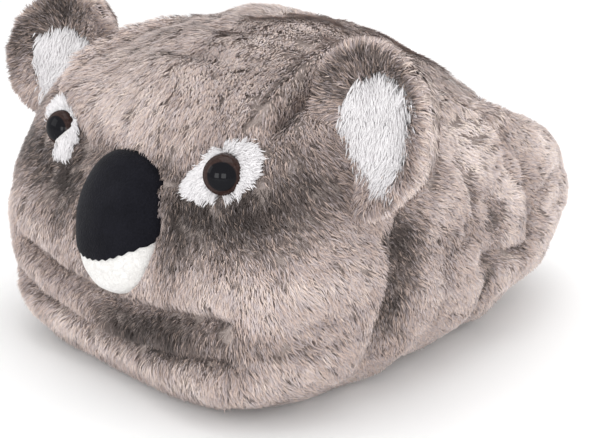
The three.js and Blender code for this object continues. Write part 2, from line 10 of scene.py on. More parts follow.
import bpy
import numpy as np
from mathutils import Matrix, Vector


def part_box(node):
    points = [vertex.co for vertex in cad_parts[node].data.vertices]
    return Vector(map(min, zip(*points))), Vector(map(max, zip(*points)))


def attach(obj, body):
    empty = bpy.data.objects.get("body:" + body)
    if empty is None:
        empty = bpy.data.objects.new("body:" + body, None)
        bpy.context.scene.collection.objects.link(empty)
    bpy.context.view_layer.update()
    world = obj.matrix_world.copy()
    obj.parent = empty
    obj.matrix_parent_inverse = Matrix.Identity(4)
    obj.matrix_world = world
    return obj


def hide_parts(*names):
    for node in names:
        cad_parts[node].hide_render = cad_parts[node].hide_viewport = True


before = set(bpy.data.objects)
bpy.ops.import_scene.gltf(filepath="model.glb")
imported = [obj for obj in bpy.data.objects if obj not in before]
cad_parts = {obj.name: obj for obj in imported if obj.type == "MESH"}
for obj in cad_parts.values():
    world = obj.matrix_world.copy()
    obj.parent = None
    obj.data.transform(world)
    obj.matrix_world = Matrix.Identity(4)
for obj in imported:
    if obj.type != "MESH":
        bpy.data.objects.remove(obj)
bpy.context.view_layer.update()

# The sole: a slab of dark coarse cloth over a firm board, closed round its edge, with rows
# of small rubber dots printed on the underside. Its plan is the upper's lowest edge.
LENGTH = 0.320  # chin to heel
HEAD_WIDTH = 0.262  # cheek to cheek
CROWN_HEIGHT = 0.189  # floor to the top of the head
HEEL_HEIGHT = 0.114  # floor to the rim at the heel
HEM_WALL = 0.009  # the upper's wall where it is turned in at the sole
SEAT_GAP = 0.0003  # between the hem, the sole and the footbed
SOLE_THICKNESS = 0.009

# The upper's skin is a stack of rings from the hem to the collar. front, widest and back are
# shares of LENGTH, half of HEAD_WIDTH, the first two heights of CROWN_HEIGHT and the last of
# HEEL_HEIGHT. blunt and round are the exponents of a ring's front and back outline.
RING_COLUMNS = "front widest back half z_front z_side z_back blunt round".split()
RINGS = [
    (-0.430, 0.02, 0.466, 0.362, 0.008, 0.008, 0.013, 4.2, 2.6),  # edge
    (-0.457, 0.01, 0.498, 0.420, 0.064, 0.064, 0.105, 4.4, 2.6),  # hem
    (-0.470, 0.00, 0.528, 0.492, 0.193, 0.193, 0.333, 4.8, 2.8),  # chin
    (-0.452, -0.03, 0.536, 0.512, 0.396, 0.385, 0.544, 5.0, 3.0),  # cheek
    (-0.398, -0.04, 0.528, 0.498, 0.674, 0.578, 0.737, 4.6, 3.0),  # eye
    (-0.350, 0.00, 0.508, 0.456, 0.824, 0.696, 0.868, 3.8, 3.0),  # brow
    (-0.258, 0.07, 0.484, 0.404, 0.930, 0.748, 0.939, 3.0, 2.8),  # forehead
    (-0.116, 0.16, 0.464, 0.362, 1.000, 0.724, 0.982, 2.5, 2.6),  # crown
    (0.016, 0.24, 0.452, 0.336, 0.995, 0.688, 1.009, 2.3, 2.4),  # nape
    (0.094, 0.28, 0.440, 0.318, 0.910, 0.655, 1.000, 2.2, 2.3),  # collar
]
COLLAR = len(RINGS) - 1  # the height of the rim, counted in rings
BODY = np.array([HEAD_WIDTH, LENGTH, CROWN_HEIGHT])


def unit(vectors):
    return vectors / np.maximum(np.linalg.norm(vectors, axis=-1, keepdims=True), 1e-12)


def smooth_through(values, t):
    """The smooth curve through a list of values, at t counted along the list."""
    last = len(values) - 1
    i = np.clip(np.floor(t).astype(int), 0, last - 1)
    u = t - i
    p0, p1, p2, p3 = (values[np.clip(i + k, 0, last)] for k in (-1, 0, 1, 2))
    cubic = -p0 + 3 * p1 - 3 * p2 + p3
    square = 2 * p0 - 5 * p1 + 4 * p2 - p3
    return 0.5 * (2 * p1 + (p2 - p0) * u + square * u * u + cubic * u**3)


def ring_column(column, t):
    return smooth_through(np.array([row[RING_COLUMNS.index(column)] for row in RINGS]), t)


def plain_skin(t, a):
    """The body's plain skin at height t in rings and angle a, which is 0 at the toe."""
    t, a = np.broadcast_arrays(np.asarray(t, float), np.asarray(a, float))
    front, widest, back = (ring_column(c, t) * LENGTH for c in ("front", "widest", "back"))
    half = ring_column("half", t) * HEAD_WIDTH
    toward_toe = np.cos(a) > 0
    power = np.where(toward_toe, ring_column("blunt", t), ring_column("round", t))
    reach = np.where(toward_toe, widest - front, back - widest)
    spread = np.abs(np.sin(a) / half) ** power + np.abs(np.cos(a) / reach) ** power
    radius = spread ** (-1 / power)
    x, y = radius * np.sin(a), widest - radius * np.cos(a)
    z_front = ring_column("z_front", t) * CROWN_HEIGHT
    z_side = ring_column("z_side", t) * CROWN_HEIGHT
    z_back = ring_column("z_back", t) * HEEL_HEIGHT
    slope_front = (z_side - z_front) / (widest - front)
    bend = ((z_back - z_side) / (back - widest) - slope_front) / (back - front)
    z = z_front + slope_front * (y - front) + bend * (y - front) * (y - widest)
    return np.stack([x, y, z], axis=-1)


def sole_plan(inset, z, columns=240, step=0.01):
    """The sole's outline, inset from the hem's inside, at height z."""
    a = np.linspace(0, 2 * np.pi, columns, endpoint=False)
    along = plain_skin(0, a + step) - plain_skin(0, a - step)
    inward = unit(np.stack([-along[:, 1], along[:, 0], np.zeros_like(a)], axis=-1))
    plan = plain_skin(0, a) + inward * (HEM_WALL + inset)
    plan[:, 2] = z
    return plan


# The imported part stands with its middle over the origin, a little forward of these tables.
heel_of_sole = sole_plan(SEAT_GAP, 0)[:, 1].max()
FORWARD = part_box("outsole")[1].y - heel_of_sole
SHIFT = np.array([0, FORWARD, 0])


class Cloth:
    """A cloth laid out as a grid of points, rows along and columns round, with its normals."""

    def __init__(self, points, closed=True):
        self.points, self.closed = points, closed
        self.along = np.gradient(points, axis=0)
        if closed:
            self.across = (np.roll(points, -1, axis=1) - np.roll(points, 1, axis=1)) / 2
        else:
            self.across = np.gradient(points, axis=1)
        self.normals = unit(np.cross(self.across, self.along))

    def faces(self):
        rows, columns = self.points.shape[:2]
        last = columns if self.closed else columns - 1
        r, c = np.meshgrid(np.arange(rows - 1), np.arange(last), indexing="ij")
        n = (c + 1) % columns
        quads = [r * columns + c, r * columns + n, (r + 1) * columns + n, (r + 1) * columns + c]
        return np.stack(quads, axis=-1).reshape(-1, 4)


def sewn_piece(name, points, faces, material, chart=None, normals=None):
    """A mesh from arrays: points, faces of equal length, and each point's place in a chart."""
    mesh = bpy.data.meshes.new(name)
    points = np.asarray(points, np.float32) + SHIFT.astype(np.float32)
    faces = np.asarray(faces, np.int32)
    count, corners = faces.shape
    mesh.vertices.add(len(points))
    mesh.vertices.foreach_set("co", points.ravel())
    mesh.loops.add(count * corners)
    mesh.loops.foreach_set("vertex_index", faces.ravel())
    mesh.polygons.add(count)
    mesh.polygons.foreach_set("loop_start", np.arange(0, count * corners, corners, dtype=np.int32))
    mesh.polygons.foreach_set("use_smooth", np.ones(count, bool))
    mesh.update(calc_edges=True)
    if chart is not None:
        layer = mesh.uv_layers.new(name="OFBake")
        layer.data.foreach_set("uv", np.asarray(chart, np.float32)[faces.ravel()].ravel())
    if normals is not None:
        mesh.normals_split_custom_set_from_vertices(np.asarray(normals, np.float32))
    mesh.materials.append(material)
    piece = bpy.data.objects.new(name, mesh)
    bpy.context.scene.collection.objects.link(piece)
    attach(piece, "root")
    return piece


def sewn_cloth(name, cloth, material, chart=None):
    """A piece made of a whole cloth."""
    return sewn_piece(name, cloth.points.reshape(-1, 3), cloth.faces(), material, chart)


class Value:
    """A number that varies over a surface: arithmetic on it adds Math nodes."""

    def __init__(self, finish, socket):
        self.finish, self.socket = finish, socket

    def math(self, operation, *others):
        return self.finish.value("ShaderNodeMath", {"operation": operation}, self, *others)

    def __add__(self, other):
        return self.math("ADD", other)

    def __sub__(self, other):
        return self.math("SUBTRACT", other)

    def __mul__(self, other):
        return self.math("MULTIPLY", other)

    def __rsub__(self, other):
        return self * -1 + other

    __radd__ = __add__
    __rmul__ = __mul__

    def step(self, low, high):
        """0 below low, 1 above high and smooth between."""
        settings = {"interpolation_type": "SMOOTHSTEP"}
        inputs = {"Value": self, "From Min": low, "From Max": high}
        return self.finish.value("ShaderNodeMapRange", settings, **inputs)


class Finish:
    """A material, made of a shader and of the nodes that feed it."""

    def __init__(self, name):
        self.material = bpy.data.materials.new(name)
        self.material.use_nodes = True
        self.nodes, self.links = self.material.node_tree.nodes, self.material.node_tree.links
        self.shader = self.nodes["Principled BSDF"]

    def set(self, socket, content):
        if isinstance(content, Value):
            content = content.socket
        if isinstance(content, bpy.types.NodeSocket):
            self.links.new(content, socket)
        elif socket.type == "RGBA" and len(content) == 3:
            socket.default_value = (*content, 1)
        else:
            socket.default_value = content

    def node(self, kind, settings, *inputs, **named):
        node = self.nodes.new(kind)
        for key, setting in settings.items():
            if key == "stops":
                ramp = node.color_ramp.elements
                while len(ramp) < len(setting):
                    ramp.new(0.5)
                for element, (place, color) in zip(ramp, setting):
                    element.position, element.color = place, (*color, 1)
            else:
                setattr(node, key, setting)
        for socket, content in zip(node.inputs, inputs):
            self.set(socket, content)
        for key, content in named.items():
            self.set(node.inputs[key], content)
        return node

    def value(self, kind, settings, *inputs, **named):
        node = self.node(kind, settings, *inputs, **named)
        return Value(self, node.outputs[0])

    def noise(self, size, detail, **named):
        place = self.node("ShaderNodeTexCoord", {}).outputs["Object"]
        named = {"Vector": place, "Scale": 1 / size, "Detail": detail, **named}
        return self.value("ShaderNodeTexNoise", {}, **named)

    def ramp(self, factor, stops):
        return self.node("ShaderNodeValToRGB", {"stops": stops}, factor).outputs["Color"]

    def mix(self, factor, low, high):
        node = self.node("ShaderNodeMix", {"data_type": "RGBA"})
        for index, content in ((0, factor), (6, low), (7, high)):
            self.set(node.inputs[index], content)
        return node.outputs[2]

    def dim(self, color, share):
        settings = {"operation": "SCALE"}
        return self.node("ShaderNodeVectorMath", settings, Vector=color, Scale=share).outputs[0]

    def bump(self, height, depth, strength=1.0):
        named = {"Height": height, "Distance": depth, "Strength": strength}
        self.set(self.shader.inputs["Normal"], self.node("ShaderNodeBump", {}, **named).outputs[0])

    def give(self, **named):
        for key, content in named.items():
            self.set(self.shader.inputs[key.replace("_", " ")], content)
        return self.material


def sole_cloth():
    finish = Finish("sole_cloth")
    place = finish.node("ShaderNodeTexCoord", {}).outputs["Object"]
    apart = finish.node("ShaderNodeSeparateXYZ", {}, place)
    x, y = (Value(finish, apart.outputs[k]) for k in (0, 1))
    thread = 0.0011
    weave = (x * (math.tau / thread)).math("SINE") * (y * (math.tau / thread)).math("SINE")
    wear = finish.noise(0.03, 4)
    tone = wear * 0.8 + weave * 0.12
    finish.bump(weave, 0.0003)
    color = finish.ramp(tone, [(0.25, (0.035, 0.031, 0.030)), (0.75, (0.085, 0.076, 0.072))])
    return finish.give(Base_Color=color, Roughness=0.85)


SOLE_ROUNDING, SOLE_TOP_ROUNDING = 0.002, 0.001
UNDERSIDE = 0.0004  # the cloth stays this far off the floor, between the grip dots
edge_line = SEAT_GAP + SOLE_ROUNDING
middle_line = sole_plan(edge_line + 0.02, UNDERSIDE)
hub = np.array([0, middle_line[:, 1].mean(), UNDERSIDE])
sole_middle = hub + (middle_line - hub) * 0.001
sole = Cloth(np.stack([
    sole_middle,
    hub + (middle_line - hub) * 0.55,
    middle_line,
    sole_plan(edge_line, UNDERSIDE),
    sole_plan(SEAT_GAP + SOLE_ROUNDING * 0.4, SOLE_ROUNDING * 0.4),
    sole_plan(SEAT_GAP, SOLE_ROUNDING),
    sole_plan(SEAT_GAP, SOLE_THICKNESS - SOLE_TOP_ROUNDING),
    sole_plan(SEAT_GAP + SOLE_TOP_ROUNDING, SOLE_THICKNESS),
    sole_middle + np.array([0, 0, SOLE_THICKNESS - UNDERSIDE]),
]))
outsole = sewn_cloth("outsole_cloth", sole, sole_cloth())
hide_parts("outsole")


def sole_rubber():
    finish = Finish("sole_rubber")
    dust = finish.noise(0.012, 3)
    color = finish.ramp(dust, [(0.3, (0.30, 0.29, 0.28)), (0.8, (0.46, 0.44, 0.42))])
    return finish.give(Base_Color=color, Roughness=0.6)


# Grip dots: small domes printed in staggered rows that stay inside the edge.
DOT_RADIUS, DOT_HEIGHT, DOT_SIDES = 0.0022, 0.0006, 10
DOT_RINGS = [(1.0, DOT_HEIGHT), (0.85, DOT_HEIGHT / 3), (0.4, 0.0)]  # reach and height
DOT_PITCH, DOT_ROW_PITCH = 0.011, 0.00957
DOT_ROWS, DOT_COLUMNS = 16, 12  # each way from the middle
EDGE_TO_DOTS = 0.006


def grip_dot(x, y, first):
    """The points of one dome, and its faces with the points counted from number first."""
    turns = np.linspace(0, 2 * np.pi, DOT_SIDES, endpoint=False)
    points = [(x + np.cos(turn) * DOT_RADIUS * reach, y + np.sin(turn) * DOT_RADIUS * reach, z)
              for reach, z in DOT_RINGS for turn in turns]
    points.append((x, y, 0.0))
    faces = []
    for low in (first, first + DOT_SIDES):
        high = low + DOT_SIDES
        for k in range(DOT_SIDES):
            n = (k + 1) % DOT_SIDES
            faces.append((low + k, high + k, high + n, low + n))
    tip = high + DOT_SIDES
    for k in range(0, DOT_SIDES, 2):
        faces.append((high + k, tip, high + (k + 2) % DOT_SIDES, high + k + 1))
    return points, faces


dot_points, dot_faces = [], []
dot_edge = sole_plan(edge_line + EDGE_TO_DOTS, 0)
for row in range(-DOT_ROWS, DOT_ROWS + 1):
    y = row * DOT_ROW_PITCH
    beside = dot_edge[np.abs(dot_edge[:, 1] - y) < 0.004]
    room = np.abs(beside[:, 0]).max(initial=0) - EDGE_TO_DOTS / 2
    for column in range(-DOT_COLUMNS, DOT_COLUMNS + 1):
        x = (column + 0.5 * (row % 2)) * DOT_PITCH
        if abs(x) <= room:
            points, faces = grip_dot(x, y, len(dot_points))
            dot_points += points
            dot_faces += faces
sewn_piece("grip_dots", dot_points, dot_faces, sole_rubber())

# The footbed: a foam board covered in cream fleece, a little crowned, its edge rolled down
# against the lining. It lies loose on the sole.
FOOTBED_THICKNESS, FOOTBED_ROWS = 0.008, 46
FOOTBED_BASE = SOLE_THICKNESS + SEAT_GAP
FOOTBED_TOP = FOOTBED_BASE + FOOTBED_THICKNESS
FOOTBED_CROWN, FOOTBED_ROLL = 0.0012, 0.0040  # up in the middle, down at the edge
ROLL_START = 0.955  # as a share of the way out from the middle
FOOTBED_INSET = SEAT_GAP + 0.0005


def fleece(name, dark, light, curl=0.004):
    """Short curly pile: pale knots of fibre, with painted shade in the soft gaps between them."""
    finish = Finish(name)
    lumps = finish.noise(curl, 4, Distortion=1.2)
    hairs = finish.noise(curl * 0.22, 3)
    soil = finish.noise(0.05, 3)
    pile = lumps * 0.7 + hairs * 0.3
    finish.bump(pile, curl * 0.5, 0.9)
    # darker where the same noise sinks the bump: painted shade in the gaps; the soil is uneven tone of the
    # fleece's own
    color = finish.ramp(pile * 0.8 + soil * 0.2, [(0.3, dark), (0.7, light)])
    named = {"Sheen Weight": 0.35, "Sheen Roughness": 0.5}
    return finish.give(Base_Color=color, Roughness=0.9, **named)


def value_noise(points, size, seed, cells=32):
    """Smooth noise from -1 to 1 at points, with lumps of a given size."""
    lattice = np.random.default_rng(seed).uniform(-1, 1, (cells, cells, cells))
    q = np.asarray(points) / size + 100.0
    i = np.floor(q).astype(int)
    u = q - i
    u = u * u * (3 - 2 * u)
    total = 0
    for corner in range(8):
        steps = np.array([corner & 1, corner >> 1 & 1, corner >> 2 & 1])
        weight = np.where(steps, u, 1 - u).prod(axis=-1)
        x, y, z = np.moveaxis((i + steps) % cells, -1, 0)
        total = total + weight * lattice[x, y, z]
    return total


bed_edge = sole_plan(FOOTBED_INSET, 0)
bed_hub = np.array([0, sole_plan(0, 0)[:, 1].mean(), 0])
bed_rows = []
for share in np.linspace(0.0005, 1, FOOTBED_ROWS):
    row = bed_hub + (bed_edge - bed_hub) * (1 - (1 - share) ** 1.15)
    rolled = np.clip((share - ROLL_START) / (1 - ROLL_START), 0, 1)
    row[:, 2] = FOOTBED_TOP + FOOTBED_CROWN * (1 - share**2) - FOOTBED_ROLL * rolled**2
    bed_rows.append(row)
bed_rows += [sole_plan(FOOTBED_INSET, z) for z in (FOOTBED_TOP - 0.006, FOOTBED_BASE)]
bed_points = np.stack(bed_rows)
pile_rows = bed_points[:FOOTBED_ROWS - 2]
pile_rows[..., 2] += 0.0006 * value_noise(pile_rows, 0.006, 3)
footbed = sewn_cloth("footbed", Cloth(bed_points[::-1]),
                     fleece("footbed_fleece", (0.38, 0.33, 0.29), (0.78, 0.72, 0.66)))
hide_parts("insole")

# The upper: fur cloth over wadding, with a fleece lining turned over at the collar and the
# hem turned in at the sole. Stuffing swells it, and seams and folds sink into it.
WALL = 0.012  # fur cloth, wadding and lining

# name, on both sides, middle and radii as shares of the body's sizes, height as one of WALL
PUFFS = [
    ("muzzle", False, (0.000, -0.444, 0.444), (0.191, 0.125, 0.159), 0.083),
    ("cheek", True, (0.382, -0.381, 0.444), (0.137, 0.125, 0.138), 0.417),
    ("forehead", False, (0.000, -0.287, 0.873), (0.130, 0.144, 0.159), 0.333),
    ("brow", True, (0.267, -0.350, 0.783), (0.092, 0.075, 0.063), 0.250),
    ("jaw", True, (0.321, -0.438, 0.116), (0.191, 0.106, 0.074), 0.333),
    ("flank", True, (0.496, -0.050, 0.444), (0.092, 0.081, 0.212), 0.333),
    ("haunch", True, (0.450, 0.300, 0.381), (0.099, 0.131, 0.180), 0.333),
    ("heel", False, (0.000, 0.525, 0.296), (0.229, 0.075, 0.159), 0.250),
    ("rump", True, (0.504, 0.138, 0.508), (0.046, 0.037, 0.106), 0.208),
    ("lower flank", True, (0.511, 0.125, 0.265), (0.053, 0.050, 0.095), 0.208),
    ("heel tuck", True, (0.400, 0.400, 0.130), (0.180, 0.220, 0.140), -0.480),
]

# name, three places as shares of the body's sizes, width as a share of HEAD_WIDTH, depth as
# one of WALL. A ridge has a depth below 0. A fold is on both sides, but where its first
# place is at x below 0 it runs across from side to side.
FOLDS = [
    ("mouth", (0.000, -0.469, 0.250), (0.307, -0.455, 0.317), (0.489, -0.339, 0.340), 0.020, 0.700),
    ("lip", (0.000, -0.468, 0.135), (0.321, -0.457, 0.201), (0.485, -0.333, 0.266), 0.018, 0.520),
    ("neck", (0.500, -0.175, 0.614), (0.511, -0.191, 0.423), (0.477, -0.225, 0.159), 0.034, 0.917),
    ("nape", (0.479, -0.110, 0.690), (0.470, -0.085, 0.700), (0.400, -0.030, 0.800), 0.030, 0.500),
    ("brow seam", (0.272, -0.128, 0.927), (0.323, -0.258, 0.865), (0.326, -0.342, 0.785), 0.017, 0.750),
    ("eye seam", (0.321, -0.350, 0.772), (0.153, -0.403, 0.651), (0.061, -0.397, 0.672), 0.027, 0.333),
    ("side fold", (0.399, 0.104, 0.735), (0.447, 0.107, 0.672), (0.486, 0.125, 0.570), 0.024, 0.750),
    ("back ridge", (0.357, 0.020, 0.820), (0.435, 0.066, 0.706), (0.482, 0.092, 0.590), 0.024, -0.620),
    ("flank pit", (0.492, 0.013, 0.593), (0.504, 0.050, 0.497), (0.504, 0.062, 0.444), 0.031, 0.333),
    ("haunch crease", (0.450, 0.181, 0.646), (0.489, 0.175, 0.529), (0.504, 0.181, 0.381), 0.027, 0.420),
    ("heel crease", (0.374, 0.312, 0.593), (0.412, 0.325, 0.476), (0.427, 0.306, 0.328), 0.027, 0.250),
    ("rim crease", (0.351, 0.163, 0.730), (0.412, 0.150, 0.656), (0.458, 0.125, 0.593), 0.023, 0.208),
    ("hem fold", (0.508, 0.044, 0.328), (0.500, 0.056, 0.233), (0.454, 0.069, 0.095), 0.031, 0.375),
    ("shoulder", (0.489, -0.069, 0.593), (0.508, -0.081, 0.423), (0.500, -0.069, 0.212), 0.031, 0.250),
    ("second ridge", (0.366, 0.125, 0.741), (0.427, 0.194, 0.646), (0.450, 0.300, 0.550), 0.023, -0.267),
    ("ridge shadow", (0.397, 0.094, 0.751), (0.458, 0.156, 0.646), (0.489, 0.225, 0.550), 0.023, 0.333),
    ("vertical trough", (0.470, -0.016, 0.668), (0.493, -0.011, 0.593), (0.511, 0.007, 0.450), 0.024, 0.520),
    ("middle ridge", (0.489, 0.075, 0.593), (0.508, 0.113, 0.497), (0.511, 0.113, 0.392), 0.023, -0.267),
    ("rump edge", (0.496, 0.181, 0.529), (0.500, 0.206, 0.444), (0.504, 0.181, 0.328), 0.023, 0.500),
    ("heel wrinkle", (0.496, 0.188, 0.466), (0.458, 0.287, 0.487), (0.397, 0.388, 0.476), 0.019, 0.360),
    ("low heel wrinkle", (0.496, 0.194, 0.402), (0.466, 0.287, 0.392), (0.397, 0.394, 0.370), 0.019, 0.340),
    ("flank crease", (0.511, 0.025, 0.339), (0.508, 0.106, 0.328), (0.489, 0.194, 0.307), 0.019, 0.550),
    ("brow ridge", (0.236, -0.105, 0.948), (0.291, -0.255, 0.886), (0.305, -0.341, 0.800), 0.019, -0.650),
    ("next crest", (0.373, 0.129, 0.737), (0.409, 0.188, 0.683), (0.446, 0.265, 0.579), 0.023, -0.420),
    ("hanging fold", (0.506, -0.046, 0.517), (0.512, -0.013, 0.433), (0.512, -0.050, 0.416), 0.016, 0.400),
    ("front wrinkle", (-0.282, -0.244, 0.847), (0.000, -0.263, 0.937), (0.282, -0.244, 0.847), 0.027, 0.220),
    ("middle wrinkle", (-0.298, -0.156, 0.878), (0.000, -0.169, 0.979), (0.298, -0.156, 0.878), 0.031, 0.270),
    ("back wrinkle", (-0.290, -0.062, 0.873), (0.000, -0.075, 1.000), (0.290, -0.062, 0.873), 0.031, 0.270),
    ("nape wrinkle", (-0.267, 0.019, 0.847), (0.000, 0.006, 0.989), (0.267, 0.019, 0.847), 0.027, 0.220),
    ("cheek parting", (0.397, -0.406, 0.508), (0.431, -0.394, 0.423), (0.450, -0.381, 0.349), 0.023, 0.208),
    ("under eye", (0.198, -0.428, 0.550), (0.282, -0.419, 0.550), (0.374, -0.388, 0.603), 0.031, 0.167),
]

FOLD_FADE = 3.5  # a fold fades out over this many of its widths at each end
DEEPEST_FOLD = 0.70  # the wadding stops a fold here, as a share of WALL

# Lumps in the stuffing: height where it is firm, more where it is slack, size and seed.
LUMPS = [(0.0005, 0.0008, 0.012, 11), (0.0008, 0.0022, 0.026, 12)]
SLACK_FROM, SLACK_EASE = -0.055, 0.012  # the body behind this place is less stuffed


def mirrored(p):
    return np.concatenate([np.abs(p[..., :1]), p[..., 1:]], axis=-1)


def line_distance(p, start, end):
    along = end - start
    share = np.clip(((p - start) @ along) / (along @ along), 0, 1)
    return np.linalg.norm(p - start - share[..., None] * along, axis=-1)


def fold_nearness(p, fold):
    """How near p is to a fold's line, from 0 to 1, less towards the fold's ends."""
    _, first, middle, last, width, _ = fold
    q = p if first[0] < 0 else mirrored(p)
    first, middle, last = (np.array(place) * BODY for place in (first, middle, last))
    off = np.minimum(line_distance(q, first, middle), line_distance(q, middle, last))
    end = np.linalg.norm(q - last, axis=-1)
    if first[0] != 0:
        end = np.minimum(end, np.linalg.norm(q - first, axis=-1))
    fade = np.clip(0.25 + end / (FOLD_FADE * width * HEAD_WIDTH), 0, 1)
    return fade * np.exp(-((off / (width * HEAD_WIDTH)) ** 2))


def nearness(p, both, place, radii):
    """How near p is to a place, from 0 to 1, place and radii as shares of the body's sizes."""
    q = (mirrored(p) if both else p) / BODY
    return np.exp(-(((q - np.array(place)) / np.array(radii)) ** 2).sum(axis=-1))


def relief(p):
    """How far the stuffing pushes the skin out at p, less the depth of the folds there."""
    slack = 1 / (1 + np.exp((SLACK_FROM - p[..., 1]) / SLACK_EASE))
    height = np.zeros(p.shape[:-1])
    for firm, more, size, seed in LUMPS:
        height += (firm + more * slack) * value_noise(p, size, seed)
    for _, both, place, radii, rise in PUFFS:
        height += rise * WALL * nearness(p, both, place, radii)
    for fold in FOLDS:
        height -= fold[-1] * WALL * fold_nearness(p, fold)
    return np.maximum(height, -DEEPEST_FOLD * WALL)


def plain_normal(t, a, step=0.02):
    up = plain_skin(np.minimum(t + step, COLLAR), a) - plain_skin(np.maximum(t - step, 0), a)
    return unit(np.cross(plain_skin(t, a + step) - plain_skin(t, a - step), up))


def skin(t, a, off=0.0):
    t, a = np.broadcast_arrays(np.asarray(t, float), np.asarray(a, float))
    p = plain_skin(t, a)
    return p + plain_normal(t, a) * (relief(p) + off)[..., None]


UPPER_ROWS, UPPER_COLUMNS = 120, 240
rows_t = np.linspace(0, COLLAR, UPPER_ROWS)[:, None]
turns = np.linspace(0, 2 * np.pi, UPPER_COLUMNS, endpoint=False)[None, :]
FUR_CLOTH_SINK = 0.0012  # the woven backing lies this far under the roots' level
backing = skin(rows_t, turns, -FUR_CLOTH_SINK)


def underwool(name, dark, light):
    """The fur's own backing and underwool, which shows only between the tufts. It is coloured
    darker than the fibres, and darker still where its bump sinks: painted shade in the gaps
    between the tufts.
    """
    finish = Finish(name)
    wool = finish.noise(0.0016, 4)
    finish.bump(wool, 0.001)
    return finish.give(Base_Color=finish.ramp(wool, [(0.3, dark), (0.7, light)]), Roughness=0.95)


LIP_TURNS = np.linspace(0.12, 0.92, 6) * math.pi
LIP_RISE = 0.42  # as a share of WALL


def rolled_lip(edge, columns):
    """Rows that roll from the fur's top edge over the stuffing towards the lining."""
    rim, rim_out = plain_skin(COLLAR, columns), plain_normal(COLLAR, columns)
    rim_up = unit(rim - plain_skin(COLLAR - 0.3, columns))
    middle, half = (edge + rim - rim_out * WALL) / 2, (edge - rim + rim_out * WALL) / 2
    return np.stack([middle + half * math.cos(turn) + rim_up * (WALL * LIP_RISE * math.sin(turn))
                     for turn in LIP_TURNS])


fur_cloth = Cloth(np.concatenate([backing, rolled_lip(backing[-1], turns[0])]))
upper_cloth = sewn_cloth("upper_cloth", fur_cloth,
                         underwool("fur_backing", (0.31, 0.256, 0.235), (0.46, 0.388, 0.357)))
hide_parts("upper")

# The lining goes from the lip down to the footbed, softly quilted by its own pile.
LINING_ROWS, LINING_FOOT = 60, 2.3  # its foot is counted in rings, as COLLAR is
LINING_QUILTING = 0.0012
lining_t = np.linspace(COLLAR, LINING_FOOT, LINING_ROWS)[:, None]
lining_out = plain_normal(lining_t, turns)
lining_rows = plain_skin(lining_t, turns) - lining_out * WALL
quilting = LINING_QUILTING * value_noise(lining_rows[2:], 0.011, 5)
lining_rows[2:] -= lining_out[2:] * quilting[..., None]
foot = [sole_plan(0, z, UPPER_COLUMNS) for z in (FOOTBED_TOP + 0.004, FOOTBED_TOP - 0.003)]
sewn_cloth("lining", Cloth(np.concatenate([lining_rows, np.stack(foot)])),
           fleece("lining_fleece", (0.34, 0.29, 0.26), (0.74, 0.68, 0.62)))

# The upper's fur: soft pile in three shades, woven in tufts and brushed down and back from
# the crown, short on the face and in the folds, with painted shade where the seams and folds
# sink and painted light along the ridges.
# name, place and lie of the fur there, and how far round it that holds, as a share of LENGTH
NAP = [
    ("crown", (0.076, -0.156, 0.984), (0.35, -0.9, -0.1), 0.141),
    ("crown side", (0.321, -0.062, 0.847), (0.75, -0.3, -0.6), 0.109),
    ("forehead", (0.000, -0.312, 0.868), (0.15, -0.6, -0.75), 0.125),
    ("brow", (0.267, -0.312, 0.820), (0.45, -0.5, -0.7), 0.087),
    ("bridge", (0.038, -0.406, 0.688), (0.1, -0.3, -0.9), 0.062),
    ("upper cheek", (0.412, -0.350, 0.672), (0.35, 0.5, -0.75), 0.081),
    ("dark cheek", (0.298, -0.412, 0.561), (0.55, 0.1, -0.8), 0.069),
    ("cheek", (0.427, -0.394, 0.455), (0.35, 0.3, -0.85), 0.087),
    ("mouth edge", (0.344, -0.456, 0.339), (0.15, -0.1, -1.0), 0.062),
    ("muzzle side", (0.145, -0.456, 0.487), (0.2, -0.2, -0.95), 0.062),
    ("chin", (0.191, -0.469, 0.159), (0.15, -0.3, -0.9), 0.109),
    ("jaw", (0.450, -0.369, 0.190), (0.4, 0.3, -0.8), 0.094),
    ("neck", (0.511, -0.181, 0.444), (0.1, 0.35, -0.95), 0.069),
    ("shoulder", (0.496, -0.062, 0.582), (0.15, 0.7, -0.7), 0.087),
    ("flank", (0.504, 0.075, 0.529), (0.1, 0.75, -0.65), 0.087),
    ("lower flank", (0.496, 0.075, 0.233), (0.1, 0.55, -0.8), 0.094),
    ("haunch", (0.427, 0.312, 0.402), (0.1, 0.75, -0.6), 0.119),
    ("heel", (0.000, 0.531, 0.296), (0.0, 0.3, -0.9), 0.156),
    ("rim", (0.351, 0.219, 0.646), (0.45, 0.45, -0.7), 0.094),
    ("heel rim", (0.000, 0.431, 0.593), (0.0, 0.6, -0.7), 0.141),
    ("nape", (0.076, 0.000, 0.995), (0.8, 0.1, -0.2), 0.075),
]
